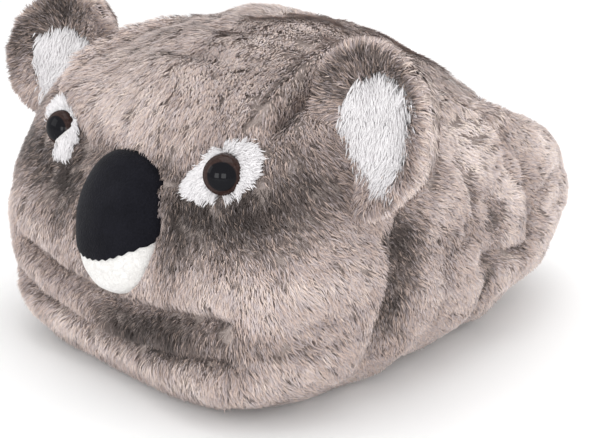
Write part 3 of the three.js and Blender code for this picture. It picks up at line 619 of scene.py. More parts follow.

# name, on both sides, middle and radii as shares of the body's sizes, lighter by, browner by
# Painted shade: the rows on the neck and its fold, the pits, the dark haunch, the hem fold, the mouth and
# under the chin. Painted light: the ridge, behind the ear and the heel.
TONES = [
    ("dark cheek", True, (0.300, -0.409, 0.575), (0.160, 0.081, 0.100), -0.46, 0.65),
    ("beside the nose", True, (0.175, -0.440, 0.530), (0.060, 0.062, 0.160), -0.40, 0.65),
    ("outer eye corner", True, (0.390, -0.340, 0.735), (0.070, 0.060, 0.060), -0.26, 0.35),
    ("temple", True, (0.435, -0.325, 0.665), (0.080, 0.070, 0.080), -0.26, 0.35),
    ("under the eye", True, (0.355, -0.385, 0.630), (0.110, 0.070, 0.060), -0.20, 0.35),
    ("light cheek", True, (0.435, -0.388, 0.430), (0.099, 0.081, 0.095), 0.10, -0.10),
    ("nose rim", True, (0.076, -0.415, 0.665), (0.060, 0.044, 0.055), -0.28, 0.50),
    ("forehead", False, (-0.031, -0.338, 0.836), (0.176, 0.125, 0.138), 0.12, -0.15),
    ("crown side", True, (0.267, -0.206, 0.899), (0.115, 0.125, 0.116), -0.06, 0.00),
    ("crown", False, (0.000, -0.090, 0.995), (0.260, 0.155, 0.120), 0.09, -0.06),
    ("neck fold shade", True, (0.511, -0.185, 0.495), (0.045, 0.034, 0.062), -0.56, 0.95),
    ("neck", True, (0.508, -0.188, 0.370), (0.038, 0.037, 0.233), -0.26, 0.45),
    ("nape pit", True, (0.481, -0.113, 0.656), (0.034, 0.028, 0.048), -0.40, 0.70),
    ("shoulder", True, (0.504, -0.062, 0.476), (0.069, 0.050, 0.180), -0.04, 0.00),
    ("ridge", True, (0.450, 0.044, 0.698), (0.061, 0.028, 0.138), 0.14, -0.10),
    ("flank pit", True, (0.504, 0.062, 0.455), (0.034, 0.025, 0.048), -0.42, 0.70),
    ("haunch dark", True, (0.500, 0.188, 0.392), (0.034, 0.028, 0.063), -0.24, 0.30),
    ("hem fold", True, (0.500, 0.056, 0.265), (0.034, 0.022, 0.085), -0.32, 0.60),
    ("haunch", True, (0.440, 0.305, 0.423), (0.135, 0.156, 0.200), 0.20, -0.10),
    ("heel", False, (0.000, 0.525, 0.339), (0.267, 0.094, 0.212), 0.14, -0.10),
    ("chin", False, (0.000, -0.475, 0.110), (0.300, 0.094, 0.050), 0.12, -0.10),
    ("under the chin", False, (0.000, -0.456, 0.042), (0.573, 0.188, 0.032), -0.18, 0.30),
    ("left cheek", False, (-0.382, -0.400, 0.476), (0.153, 0.094, 0.159), 0.10, -0.05),
    ("mouth inside", False, (0.060, -0.470, 0.200), (0.120, 0.060, 0.056), -0.50, 0.90),
    ("mouth middle", False, (0.230, -0.465, 0.242), (0.120, 0.060, 0.054), -0.48, 0.85),
    ("mouth end", False, (0.400, -0.425, 0.280), (0.090, 0.060, 0.045), -0.22, 0.35),
    ("front cheek", True, (0.300, -0.445, 0.400), (0.140, 0.070, 0.060), 0.05, -0.10),
    ("behind the ear", True, (0.450, -0.020, 0.720), (0.120, 0.090, 0.160), 0.14, -0.15),
    ("back", True, (0.350, 0.200, 0.620), (0.200, 0.200, 0.200), 0.08, -0.10),
]
FUR_TONE = 0.58  # the coat's middle tone, from 0, dark, to 1, cream
COAT_BROWN = 0.16  # how brown it is, from 0 to 1
# Layers of noise: strength, size and seed.
TONE_MOTTLE = [(0.07, 0.030, 31), (0.09, 0.012, 32), (0.08, 0.0055, 35)]
BROWN_MOTTLE = [(0.16, 0.040, 33), (0.10, 0.013, 34)]
SWIRL = [(0.42, 0.026, 21), (0.20, 0.010, 22)]


def mottle(p, layers):
    return sum(strength * value_noise(p, size, seed) for strength, size, seed in layers)


def turned(vectors, axis, angle):
    c, s = np.cos(angle)[..., None], np.sin(angle)[..., None]
    along = (vectors * axis).sum(axis=-1, keepdims=True) * axis
    return vectors * c + np.cross(axis, vectors) * s + along * (1 - c)


def along_cloth(lie, out):
    """The direction lie, laid flat on a cloth with the normals out."""
    return unit(lie - (lie * out).sum(axis=-1, keepdims=True) * out)


def nap(p, out):
    """The way the fur lies at places p, along the cloth."""
    side = np.sign(p[..., :1] + 1e-9) * np.array([1, 0, 0]) + np.array([0, 1, 1])
    lie = np.zeros_like(p)
    for _, place, direction, radius in NAP:
        off = np.linalg.norm(mirrored(p) - np.array(place) * BODY, axis=-1)
        weight = np.exp(-((off / (radius * LENGTH)) ** 2)) + 1e-6 / (off + 1e-3)
        lie += weight[..., None] * unit(np.array(direction)) * side
    return turned(along_cloth(lie, out), out, mottle(p, SWIRL))


def coat_tone(p):
    """How light and how brown the coat is at places p, with painted shade and painted light from
    the folds and from some rows of TONES.
    """
    tone = FUR_TONE + mottle(p, TONE_MOTTLE)
    brown = COAT_BROWN + mottle(p, BROWN_MOTTLE)
    for _, both, place, radii, lighter, browner in TONES:
        near = nearness(p, both, place, radii)
        tone, brown = tone + lighter * near, brown + browner * near
    # Painted shade: a fold makes the coat darker and browner, with more dark fibres. Painted light: a ridge
    # makes it lighter.
    for fold in FOLDS:
        depth, near = fold[-1], fold_nearness(p, fold) ** 1.5
        tone = tone - (0.75 if depth > 0 else 0.55) * depth * near
        brown = brown + 0.8 * max(depth, 0) * near
    return tone, brown


def cell_areas(cloth):
    along = cloth.points[1:] - cloth.points[:-1]
    if cloth.closed:
        across = np.roll(cloth.points, -1, axis=1) - cloth.points
    else:
        across = np.diff(cloth.points, axis=1)
        along = along[:, :-1]
    return np.linalg.norm(np.cross(across[:-1], along), axis=-1)


def places(cloth, count, rng):
    """Places spread evenly over a cloth's area, in rows and columns."""
    areas = cell_areas(cloth)
    heap = np.cumsum(areas.ravel())
    cell = np.searchsorted(heap, rng.uniform(0, heap[-1], count))
    row, column = np.unravel_index(np.minimum(cell, areas.size - 1), areas.shape)
    return row + rng.uniform(0, 1, count), column + rng.uniform(0, 1, count)


def on_cloth(cloth, row, column):
    """The points and normals of a cloth at places given in rows and columns."""
    rows, columns = cloth.points.shape[:2]
    row = np.clip(row, 0, rows - 1.001)
    i = row.astype(int)
    u = (row - i)[..., None]
    column = np.mod(column, columns) if cloth.closed else np.clip(column, 0, columns - 1.001)
    j = np.minimum(column.astype(int), columns - 1)
    k = (j + 1) % columns
    v = (column - j)[..., None]

    def blend(grid):
        low = grid[i, j] * (1 - v) + grid[i, k] * v
        return low * (1 - u) + (grid[i + 1, j] * (1 - v) + grid[i + 1, k] * v) * u

    return blend(cloth.points), unit(blend(cloth.normals))


class Pile:
    """Fibres rooted in tufts on a cloth: each array has one row for each fibre."""

    def __init__(self, tufts, **arrays):
        self.tufts = tufts
        vars(self).update(arrays)

    def chosen(self, mask):
        arrays = {key: rows[mask] for key, rows in vars(self).items() if key != "tufts"}
        return Pile(self.tufts, **arrays)

    def strays(self, rng, tufts_apart, fibres_apart):
        """How far each fibre strays: its tuft from the others, and it from its tuft."""
        by_tuft = rng.normal(0, tufts_apart, self.tufts)[self.tuft]
        return by_tuft + rng.normal(0, fibres_apart, len(self.tuft))


def planted(cloth, count, fibres, spread, rng):
    """Fibres in tufts on a cloth: each one's root, normal, and tuft with its heart."""
    row, column = places(cloth, count, rng)
    i, j = row.astype(int), column.astype(int) % cloth.points.shape[1]
    row_step = np.maximum(np.linalg.norm(cloth.along[i, j], axis=-1), 2e-4)
    column_step = np.maximum(np.linalg.norm(cloth.across[i, j], axis=-1), 2e-4)
    stray = rng.normal(0, spread, (2, count, fibres))
    rows = row[:, None] + stray[0] / row_step[:, None]
    columns = column[:, None] + stray[1] / column_step[:, None]
    root, out = on_cloth(cloth, rows, columns)
    heart, _ = on_cloth(cloth, row, column)
    heart = np.broadcast_to(heart[:, None], root.shape)
    tuft = np.broadcast_to(np.arange(count)[:, None], rows.shape)
    inside = (rows > 0) & (rows < cloth.points.shape[0] - 1)
    return Pile(count, root=root[inside], out=out[inside], heart=heart[inside], tuft=tuft[inside])


SHADES = 3  # warm beige, mauve grey and dark brown fibres
ROOT_DEPTH = 0.0012  # from the fur's skin down to the woven backing
FLOOR_CLEARANCE = 0.0006


def fur(name, material, pile, gather):
    """A piece of fur: each fibre is a slim leaf of two triangles, bent in the middle."""
    length, lift, width = (rows[:, None] for rows in (pile.length, pile.lift, pile.width))
    lie, out, root = pile.lie, pile.out, pile.root
    first = lie * np.cos(lift) + out * np.sin(lift)
    second = lie * np.cos(lift * 0.35) + out * np.sin(lift * 0.35)
    toward = pile.heart - root
    base = root - out * ROOT_DEPTH
    middle = root + first * length * 0.5 + toward * gather * 0.5
    tip = root + first * length * 0.5 + second * length * 0.5 + toward * gather
    across = unit(np.cross(tip - base, out))
    points = np.stack([base, middle - across * width * 0.5, middle + across * width * 0.5, tip],
                      axis=1)
    points[..., 2] = np.maximum(points[..., 2], FLOOR_CLEARANCE)

    # the fibres are lit much as the cloth under them is, each a little in its own way
    bent = unit(out * 0.84 + unit(np.cross(across, tip - base)) * 0.16)
    normals = np.stack([bent, unit(bent - across * 0.12), unit(bent + across * 0.12), bent], axis=1)
    u = np.clip(pile.tone, 0.01, 0.99)[:, None] + np.array([0, -1, 1, 0]) * 0.003
    v = (pile.shade[:, None] + np.array([0.04, 0.5, 0.5, 0.96])) / SHADES
    chart = np.stack([u, v], axis=-1).reshape(-1, 2)
    leaf = np.array([[0, 2, 1], [1, 2, 3]])
    faces = (np.arange(len(root))[:, None, None] * 4 + leaf).reshape(-1, 3)
    sewn_piece(name, points.reshape(-1, 3), faces, material, chart, normals.reshape(-1, 3))


def fur_finish(name, shades, root_shadow=0.21):
    """Fibres coloured by a chart: their tone across it, and up it their shade and length."""
    finish = Finish(name)
    chart = finish.node("ShaderNodeUVMap", {"uv_map": "OFBake"}).outputs[0]
    apart = finish.node("ShaderNodeSeparateXYZ", {}, chart)
    tone, band = Value(finish, apart.outputs[0]), Value(finish, apart.outputs[1]) * SHADES
    colors = [finish.ramp(tone, stops) for stops in shades]
    color = finish.mix(band.math("GREATER_THAN", 1.0), colors[0], colors[1])
    color = finish.mix(band.math("GREATER_THAN", 2.0), color, colors[2])
    up = band.math("FRACT").step(0.0, 0.85)
    color = finish.dim(color, 1 - (1 - up) * root_shadow)
    named = {"Sheen Weight": 0.2, "Sheen Roughness": 0.4, "Specular IOR Level": 0.25}
    return finish.give(Base_Color=color, Roughness=0.62, **named)


BEIGE = [(0.0, (0.20, 0.150, 0.125)), (0.5, (0.57, 0.445, 0.393)), (1.0, (0.95, 0.83, 0.75))]
MAUVE = [(0.0, (0.14, 0.118, 0.116)), (0.5, (0.46, 0.385, 0.377)), (1.0, (0.88, 0.78, 0.76))]
BROWN = [(0.0, (0.04, 0.030, 0.027)), (0.5, (0.25, 0.197, 0.179)), (1.0, (0.56, 0.460, 0.417))]
coat_finish = fur_finish("coat_fur", [BEIGE, MAUVE, BROWN])


def pick_shade(brown, rng):
    """Which of the three shades each fibre is: the browner the place, the more dark ones."""
    draw = rng.uniform(0, 1, len(brown))
    dark = np.clip(brown - 0.12, 0, 0.92)
    return np.where(draw < dark, 2, np.where(draw < dark + (1 - dark) * 0.5, 1, 0)).astype(float)


# The coat is shaved where the eye patches and the nose are sewn on, and short beside them.
EYE_PATCH_LENGTH, EYE_PATCH_WIDTH, EYE_DIAMETER = 0.043, 0.0275, 0.0205
NOSE_WIDTH, NOSE_HEIGHT, NOSE_SUNK, NOSE_MIDDLE = 0.067, 0.078, 0.005, 0.484
UPRIGHT = np.array([0, 0, 1.0])
face_t, face_a = np.meshgrid(np.arange(1, 7, 0.02), np.arange(-1.5, 1.5, 0.008), indexing="ij")
face_points = skin(face_t, face_a)


def face_place(x, z):
    """The place on the front of the face at x and z, and the way it faces there."""
    miss = np.hypot(face_points[..., 0] - x, face_points[..., 2] - z)
    i = np.unravel_index(np.argmin(miss), miss.shape)
    return face_points[i], plain_normal(face_t[i], face_a[i])


class Seat:
    """The place where a piece is sewn on: its middle, and the ways out, across and up."""

    def __init__(self, middle, out, up_hint=UPRIGHT):
        self.middle, self.out = middle, out
        self.across = unit(np.cross(up_hint, out))
        self.up = np.cross(out, self.across)

    def measured(self, p):
        """How far places p lie across, up and out from the middle."""
        off = p - self.middle
        return off @ self.across, off @ self.up, off @ self.out

    def points(self, u, v, w):
        """The points that lie u across, v up and w out from the middle."""
        u, v, w = (each[..., None] for each in np.broadcast_arrays(u, v, w))
        return self.middle + u * self.across + v * self.up + w * self.out


def inside_drop(u, v, length, width, lean, narrow):
    """How far inside a drop-shaped patch, above 0, places u across and v up it are."""
    c, s = math.cos(lean), math.sin(lean)
    along = (-u * s + v * c) / (length / 2)
    wide = np.sqrt(np.maximum(1 - np.clip(along, -1, 1) ** 2, 0)) * (width / 2)
    wide *= 1 - narrow * (0.5 - 0.5 * np.clip(along, -1, 1))
    return np.minimum(wide - np.abs(u * c + v * s), (1 - np.abs(along)) * length / 2)


class Eye:
    """One eye: its place on the face, and how its drop-shaped white patch lies there."""

    NARROW = 0.4  # how much narrower the patch is at its point

    def __init__(self, name, side, place, size, lean, turn, proud):
        self.name, self.side, self.size = name, side, size
        self.lean, self.turn, self.proud = side * math.radians(lean), math.radians(turn), proud
        x, z = place
        self.seat = Seat(*face_place(side * x * HEAD_WIDTH, z * CROWN_HEIGHT))
        self.length, self.width = EYE_PATCH_LENGTH * size, EYE_PATCH_WIDTH * size

    def inside_patch(self, p):
        u, v, _ = self.seat.measured(p)
        return inside_drop(u, v, self.length, self.width, self.lean, self.NARROW)


# place of the patch as shares of HEAD_WIDTH and CROWN_HEIGHT, its size as a share and its
# lean in degrees; then the way the button is turned in degrees, and how far it stands proud
EYES = [
    Eye("left", 1, place=(0.258, 0.684), size=1.0, lean=-62, turn=40, proud=0.0056),
    Eye("right", -1, place=(0.254, 0.678), size=0.82, lean=-42, turn=14, proud=-0.0018),
]
nose_out = unit(np.array([0, -1, 0.30]))
nose_place, _ = face_place(0, NOSE_MIDDLE * CROWN_HEIGHT)
nose_seat = Seat(nose_place - nose_out * NOSE_SUNK, nose_out)


def bare(p):
    """How far inside a shaved place p is, in metres, and below 0 how far from the nearest."""
    u, v, w = nose_seat.measured(p)
    inside = (1 - np.hypot(u / (NOSE_WIDTH / 2), v / (NOSE_HEIGHT / 2))) * NOSE_WIDTH / 2
    inside = np.where(w > -0.02, inside, -1.0)
    for eye in EYES:
        _, _, w = eye.seat.measured(p)
        inside = np.maximum(inside, np.where(np.abs(w) < 0.02, eye.inside_patch(p), -1.0))
    return inside


def nearness_to_rim(p, reach=0.010):
    """How near places p are to the collar's rim, from 0 to 1."""
    rim = fine_rows[-1, ::4]
    off = [np.linalg.norm(part[:, None] - rim, axis=-1).min(axis=1)
           for part in np.array_split(p, 25)]
    return np.exp(-((np.concatenate(off) / reach) ** 2))


TUFTS, TUFT_FIBRES, TUFT_SPREAD = 12200, 25, 0.0024
FIBRE_LENGTH, FIBRE_WIDTH = 0.0068, 0.00062
COAT_GATHER = 0.16  # how much of the way to its tuft's heart a fibre's tip leans
fine_turns = np.linspace(0, 2 * np.pi, 500, endpoint=False)
fine_rows = skin(np.linspace(0, COLLAR, 230)[:, None], fine_turns[None, :])
coat_cloth = Cloth(np.concatenate([fine_rows, rolled_lip(fine_rows[-1], fine_turns)[:4]]))
rng = np.random.default_rng(7)
coat = planted(coat_cloth, TUFTS, TUFT_FIBRES, TUFT_SPREAD, rng)
coat.shaved = bare(coat.root)
tips = coat.root + nap(coat.heart, coat.out) * FIBRE_LENGTH * 0.8
coat = coat.chosen((coat.shaved < -0.0004) & (bare(tips) < 0.0014))
count = len(coat.root)

tone, brown = coat_tone(coat.heart)
coat.tone = tone + coat.strays(rng, 0.05, 0.055)
coat.lie = turned(nap(coat.heart, coat.out), coat.out, coat.strays(rng, 0.20, 0.16))
coat.lift = 0.44 + 0.16 * value_noise(coat.heart, 0.014, 41) + rng.normal(0, 0.10, count)
coat.lift += 0.45 * nearness_to_rim(coat.heart)
coat.length = FIBRE_LENGTH * (1 + 0.12 * value_noise(coat.heart, 0.02, 42))
coat.length *= rng.uniform(0.75, 1.15, count)
coat.length *= 1 - 0.45 * np.clip(-relief(coat.heart) / 0.006, 0, 1)  # shorter in the folds
coat.length *= 1 - 0.16 * np.clip((coat.heart[:, 1] + 0.06) / 0.03, 0, 1)  # and behind the head
coat.length *= 0.5 + 0.5 * np.clip(-coat.shaved / 0.007, 0, 1)
coat.width = FIBRE_WIDTH * rng.uniform(0.75, 1.2, count)
coat.shade = pick_shade(brown, rng)

# The coat is cut and sewn as five panels: crown, face, two flanks and heel.
HEEL_SEAM, FACE_SEAM, CROWN_SEAM = 0.075, -0.098, 0.150
x, y, z = coat.heart.T
on_heel = y > HEEL_SEAM
on_crown = ~on_heel & (z > CROWN_SEAM - 0.25 * np.maximum(y, 0))
on_face = ~on_heel & ~on_crown & (y < FACE_SEAM)
on_flank = ~(on_heel | on_crown | on_face)
panels = {"fur_crown": on_crown, "fur_face": on_face, "fur_heel": on_heel,
          "fur_flank_left": on_flank & (x > 0), "fur_flank_right": on_flank & (x <= 0)}
for panel, here in panels.items():
    fur(panel, coat_finish, coat.chosen(here), COAT_GATHER)

# The ears: two fur discs sewn face to face over wadding, the front dished, rolled at the
# rim and faced in white plush. Each is sewn to the head by its inner edge and has settled
# in its own way.
EAR_WIDTH, EAR_HEIGHT, EAR_THICKNESS = 0.070, 0.084, 0.020
FRONT_WIDTH, FRONT_HEIGHT = 0.044, 0.060
EAR_ROWS, EAR_COLUMNS = 60, 110
EAR_ROUNDNESS = 2.25  # 2 is an ellipse, and more is squarer

# From the middle of the dish, over the rim, to the middle of the back: reach as a share of
# the radius and depth as one of EAR_THICKNESS.
EAR_SECTION = [
    (0.01, 0.15), (0.22, 0.16), (0.50, 0.20), (0.72, 0.32), (0.87, 0.42), (0.97, 0.30),
    (1.00, 0.02), (0.93, -0.30), (0.72, -0.46), (0.34, -0.52), (0.01, -0.52),
]


class Ear:
    """One ear: its disc as a cloth, and where its white front lies."""

    def __init__(self, name, side, place, turn, lean, tip, wide, tall, front):
        self.name, self.side, self.front = name, side, front
        turn, lean, tip = side * math.radians(turn), side * math.radians(lean), math.radians(tip)
        out = unit(np.array([math.sin(turn) * math.cos(tip), -math.cos(turn) * math.cos(tip),
                             math.sin(tip)]))
        self.seat = Seat(np.array(place) * BODY * np.array([side, 1, 1]), out,
                         np.array([math.sin(lean), 0, math.cos(lean)]))
        self.half_wide, self.half_tall = EAR_WIDTH * wide / 2, EAR_HEIGHT * tall / 2
        self.cloth = Cloth(self.disc()[::-1])

    def disc(self):
        knots = np.linspace(0, len(EAR_SECTION) - 1, EAR_ROWS)
        share, depth = (smooth_through(column, knots) for column in np.array(EAR_SECTION).T)
        angle = np.linspace(0, 2 * np.pi, EAR_COLUMNS, endpoint=False)
        spread = (np.abs(np.cos(angle) / self.half_wide) ** EAR_ROUNDNESS
                  + np.abs(np.sin(angle) / self.half_tall) ** EAR_ROUNDNESS)
        puff = 1 + 0.03 * np.sin(3 * angle + self.side) + 0.02 * np.sin(5 * angle + 2 * self.side)
        reach = np.clip(share, 0.004, 1.02)[:, None] * spread ** (-1 / EAR_ROUNDNESS) * puff
        depth = depth[:, None] * EAR_THICKNESS
        return self.seat.points(np.cos(angle) * reach, np.sin(angle) * reach, depth)

    def white_front(self, pile, ragged):
        """How far inside the white front each fibre's tuft is, and whether it is white."""
        lean, wide, tall, off, rise = self.front
        u, v, _ = self.seat.measured(pile.heart)
        inside = inside_drop(u - self.side * off, v - rise, FRONT_HEIGHT * tall,
                             FRONT_WIDTH * wide, self.side * math.radians(lean), 0.62)
        return inside, (pile.out @ self.seat.out > -0.1) & (inside + ragged[pile.tuft] > 0)


# side, place as shares of the body's sizes, turn, lean and tip of the disc in degrees, its
# width and height as shares; and of its white front the lean in degrees, the width and
# height as shares, and how far it lies off the middle, outward and up
EARS = [
    Ear("left", 1, place=(0.485, -0.250, 0.810), turn=-2, lean=14, tip=6, wide=1.02, tall=1.0,
        front=(38, 1.38, 0.90, 0.010, 0.005)),
    Ear("right", -1, place=(0.469, -0.250, 0.825), turn=-16, lean=24, tip=6, wide=1.18, tall=0.9,
        front=(30, 1.36, 0.86, 0.004, -0.006)),
]
EAR_TUFTS, EAR_TUFT_FIBRES, EAR_GATHER = 1350, 24, 0.22
EAR_FIBRE_LENGTH, EAR_FIBRE_WIDTH = 0.0072, 0.00065
WHITE_TUFTS, WHITE_FIBRE_LENGTH, WHITE_FIBRE_WIDTH, WHITE_GATHER = 1900, 0.0078, 0.00085, 0.25
SNOW = [(0.0, (0.38, 0.36, 0.37)), (0.5, (0.70, 0.68, 0.69)), (1.0, (0.90, 0.88, 0.89))]
white_finish = fur_finish("white_fur", [SNOW, SNOW, SNOW], root_shadow=0.38)


def grey_ear_fur(ear, rng):
    """It fans out from the dish over the rim and lies down the back, round the white front."""
    pile = planted(ear.cloth, EAR_TUFTS, EAR_TUFT_FIBRES, 0.0019, rng)
    _, white = ear.white_front(pile, rng.normal(0, 0.0012, EAR_TUFTS))
    u, v, _ = ear.seat.measured(pile.root)
    front = pile.out @ ear.seat.out > -0.1
    share = np.hypot(u / ear.half_wide, v / ear.half_tall)
    radial = unit(u[:, None] * ear.seat.across + v[:, None] * ear.seat.up)
    over_rim = ear.seat.out * 0.15 * (share > 0.8)[:, None]
    lie = np.where(front[:, None], unit(radial * 0.9 - UPRIGHT * 0.45 + over_rim),
                   unit(radial * 0.55 - UPRIGHT * 0.7))
    lie = along_cloth(lie, pile.out)
    pile.lie = turned(lie, pile.out, pile.strays(rng, 0.30, 0.15))
    noise = value_noise(pile.heart, 0.012, 61)
    height = v / ear.half_tall * 1.6
    tone = 0.54 + 0.14 * noise + pile.strays(rng, 0.08, 0.11)
    # Painted shade: darker in the front's dish, most towards its top, where it is also browner, and darker on
    # the back. Painted light: lighter on the rim.
    tone += 0.14 * np.clip((share - 0.93) / 0.07, 0, 1) - 0.22 * (~front & (share < 0.8))
    tone -= 0.30 * (front & (share < 0.9)) * np.clip(height - 0.1, 0, 1)
    pile.tone = tone - 0.15 * (front & (share < 0.94))
    brown = 0.30 + 0.25 * value_noise(pile.heart, 0.02, 62) + 0.15 * (~front)
    brown += 0.35 * (front & (share < 0.85)) * np.clip(height, 0, 1)
    count = len(pile.root)
    pile.length = EAR_FIBRE_LENGTH * rng.uniform(0.75, 1.15, count)
    pile.lift = 0.40 + 0.15 * noise + rng.normal(0, 0.10, count)
    pile.width = EAR_FIBRE_WIDTH * rng.uniform(0.75, 1.2, count)
    pile.shade = pick_shade(brown, rng)
    return pile.chosen(~white)


def white_ear_fur(ear, rng):
    """It is longer than the grey fur and brushed down and outward."""
    pile = planted(ear.cloth, WHITE_TUFTS, EAR_TUFT_FIBRES, 0.0020, rng)
    pile.inside, white = ear.white_front(pile, rng.normal(0, 0.0010, WHITE_TUFTS))
    pile = pile.chosen(white)
    flow = unit(ear.seat.up * -0.75 + ear.seat.across * (0.35 * ear.side))
    swirl = 0.5 * value_noise(pile.heart, 0.014, 63) + pile.strays(rng, 0.28, 0.14)
    pile.lie = turned(along_cloth(flow, pile.out), pile.out, swirl)
    count = len(pile.root)
    pile.tone = 0.84 + 0.08 * value_noise(pile.heart, 0.007, 64) + rng.normal(0, 0.09, count)
    # greyer near the edge of the white front: painted shade
    pile.tone -= 0.22 * np.clip(1 - pile.inside / 0.004, 0, 1)
    pile.length = WHITE_FIBRE_LENGTH * rng.uniform(0.75, 1.15, count)
    pile.lift = 0.42 + rng.normal(0, 0.12, count)
    pile.width, pile.shade = np.full(count, WHITE_FIBRE_WIDTH), np.zeros(count)
    return pile


ear_backing = underwool("ear_backing", (0.18, 0.145, 0.133), (0.32, 0.265, 0.245))
for ear in EARS:
    shell = Cloth(ear.cloth.points - ear.cloth.normals * 0.001)
    padding = sewn_cloth(f"ear_{ear.name}_padding", shell, ear_backing)
    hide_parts(f"ear_{ear.name}", f"ear_patch_{ear.name}")
    rng = np.random.default_rng(50 + ear.side)
    fur(f"ear_{ear.name}_fur", coat_finish, grey_ear_fur(ear, rng), EAR_GATHER)
    fur(f"ear_patch_{ear.name}_fur", white_finish, white_ear_fur(ear, rng), WHITE_GATHER)

# The eye patches: leaves of white plush sewn flat on the face, their fur combed outward
# from the eye.
EYE_SEAT = np.array([0.0034, 0, 0.0004])  # where the button sits off its patch's middle
EYE_TUFTS, EYE_TUFT_FIBRES, EYE_FUR_GATHER = 2200, 24, 0.35
EYE_FIBRE_LENGTH, EYE_FIBRE_WIDTH = 0.0060, 0.0008
PATCH_PUFF = 0.0026  # the leaf is this much fuller in its middle
PATCH_THICKNESS = 0.0016  # the fur's roots lie this far off the face


def face_window(eye):
    """The part of the face round an eye, as a cloth."""
    near = np.linalg.norm(face_points - eye.seat.middle, axis=-1) < EYE_PATCH_LENGTH * 0.62
    rows, columns = np.where(near)
    rows = slice(rows.min(), rows.max() + 1)
    columns = slice(columns.min(), columns.max() + 1)
    return Cloth(face_points[rows, columns], closed=False)


def patch_leaf(eye, window, rings=12, around=64):
    """The patch's own cloth, a thin leaf that follows the face."""
    share = np.linspace(0.02, 1, rings)[:, None]
    angle = np.linspace(0, 2 * np.pi, around, endpoint=False)
    narrowing = 1 - eye.NARROW * (0.5 - 0.5 * np.cos(angle))
    wide = np.sin(angle) * (eye.width / 2) * narrowing * share
    along = np.cos(angle) * (eye.length / 2) * share
    c, s = math.cos(eye.lean), math.sin(eye.lean)
    u, v = wide * c - along * s, wide * s + along * c
    window_u, window_v, _ = (each.ravel() for each in eye.seat.measured(window.points))
    nearest = [[np.argmin(np.hypot(window_u - place_u, window_v - place_v))
                for place_u, place_v in zip(*ring)] for ring in zip(u, v)]
    rise = PATCH_PUFF * (1 - share**4) - 0.0002
    points, normals = window.points.reshape(-1, 3), window.normals.reshape(-1, 3)
    return Cloth(points[nearest] + normals[nearest] * rise[..., None])


def eye_patch_fur(eye, window, rng):
    """It is brushed outward from the button and along the patch, and leaves the button free."""
    pile = planted(window, EYE_TUFTS, EYE_TUFT_FIBRES, 0.0014, rng)
    pile.inside = eye.inside_patch(pile.heart)
    seat = eye.seat
    u, v, _ = seat.measured(pile.heart - EYE_SEAT * np.array([eye.side, 1, 1]))
    pile.u, pile.v = u, v
    clear = np.hypot(u, v) > EYE_DIAMETER * 0.46
    ragged = rng.normal(0, 0.0009, EYE_TUFTS)[pile.tuft]
    pile = pile.chosen((pile.inside + ragged > 0.0010) & clear)
    radial = unit(pile.u[:, None] * seat.across + pile.v[:, None] * seat.up)
    long_way = seat.across * -math.sin(eye.lean) + seat.up * math.cos(eye.lean)
    lengthwise = long_way * np.sign((radial * long_way).sum(axis=-1, keepdims=True))
    lie = along_cloth(unit(radial * 0.6 + lengthwise * 0.5 - seat.up * 0.35), pile.out)
    pile.lie = turned(lie, pile.out, pile.strays(rng, 0.30, 0.14))
    count = len(pile.root)
    pile.tone = 0.84 + 0.08 * value_noise(pile.heart, 0.006, 71) + rng.normal(0, 0.09, count)
    # greyer near the edge of the patch: painted shade
    pile.tone -= 0.20 * np.clip(1 - pile.inside / 0.0025, 0, 1)
    pile.length = EYE_FIBRE_LENGTH * rng.uniform(0.75, 1.2, count)
    pile.lift = 0.36 + rng.normal(0, 0.12, count)
    pile.width, pile.shade = np.full(count, EYE_FIBRE_WIDTH), np.zeros(count)
    pile.root = pile.root + pile.out * PATCH_THICKNESS
    return pile


patch_backing = underwool("patch_backing", (0.55, 0.53, 0.52), (0.80, 0.78, 0.77))
for eye in EYES:
    window = face_window(eye)
    leaf = patch_leaf(eye, window)
    patch = sewn_cloth(f"eye_patch_{eye.name}_cloth", leaf, patch_backing)
    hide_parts(f"eye_patch_{eye.name}")
    rng = np.random.default_rng(70 + eye.side)
    fur(f"eye_patch_{eye.name}_fur", white_finish, eye_patch_fur(eye, window, rng),
        EYE_FUR_GATHER)

# The eyes: domed plastic buttons on a shank, which lets them turn. They are black in the
# middle with a brown ring seen through their clear gloss.
EYE_DOME = 0.0075


def eye_plastic():
    finish = Finish("eye_plastic")
    chart = finish.node("ShaderNodeUVMap", {"uv_map": "OFBake"}).outputs[0]
    reach = Value(finish, finish.node("ShaderNodeSeparateXYZ", {}, chart).outputs[0])
    streaks = finish.noise(0.0012, 3)
    iris = finish.ramp(streaks, [(0.3, (0.024, 0.013, 0.011)), (0.8, (0.050, 0.029, 0.025))])
    color = finish.mix(reach.step(0.66, 0.74), (0.004, 0.004, 0.006), iris)
    named = {"Coat Weight": 0.28, "Coat Roughness": 0.03, "Specular IOR Level": 0.0}
    return finish.give(Base_Color=color, Roughness=0.3, **named)


eye_finish = eye_plastic()
for eye in EYES:
    out = unit(np.array([math.sin(eye.turn), -math.cos(eye.turn), 0.16]))
    off = EYE_SEAT * np.array([eye.side * eye.size, 1, 1])
    seat = Seat(eye.seat.middle + out * eye.proud + off, out)
    angle = np.linspace(0, 2 * np.pi, 64, endpoint=False)
    latitude = np.linspace(0, 0.999, 26) * math.pi / 2
    share = np.concatenate([[1], np.cos(latitude) ** 0.96])[:, None]
    back = -max(0.002, eye.proud + 0.002)
    rise = np.concatenate([[back], EYE_DOME * np.sin(latitude)])[:, None]
    reach = share * EYE_DIAMETER / 2
    dome = Cloth(seat.points(np.cos(angle) * reach, np.sin(angle) * reach, rise))
    chart = np.stack(np.broadcast_arrays(share * 0.96 + 0.02, angle / 6.4 + 0.005), axis=-1)
    button = sewn_cloth(f"eye_{eye.name}_button", dome, eye_finish,
                        chart.reshape(-1, 2))
    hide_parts(f"eye_{eye.name}")

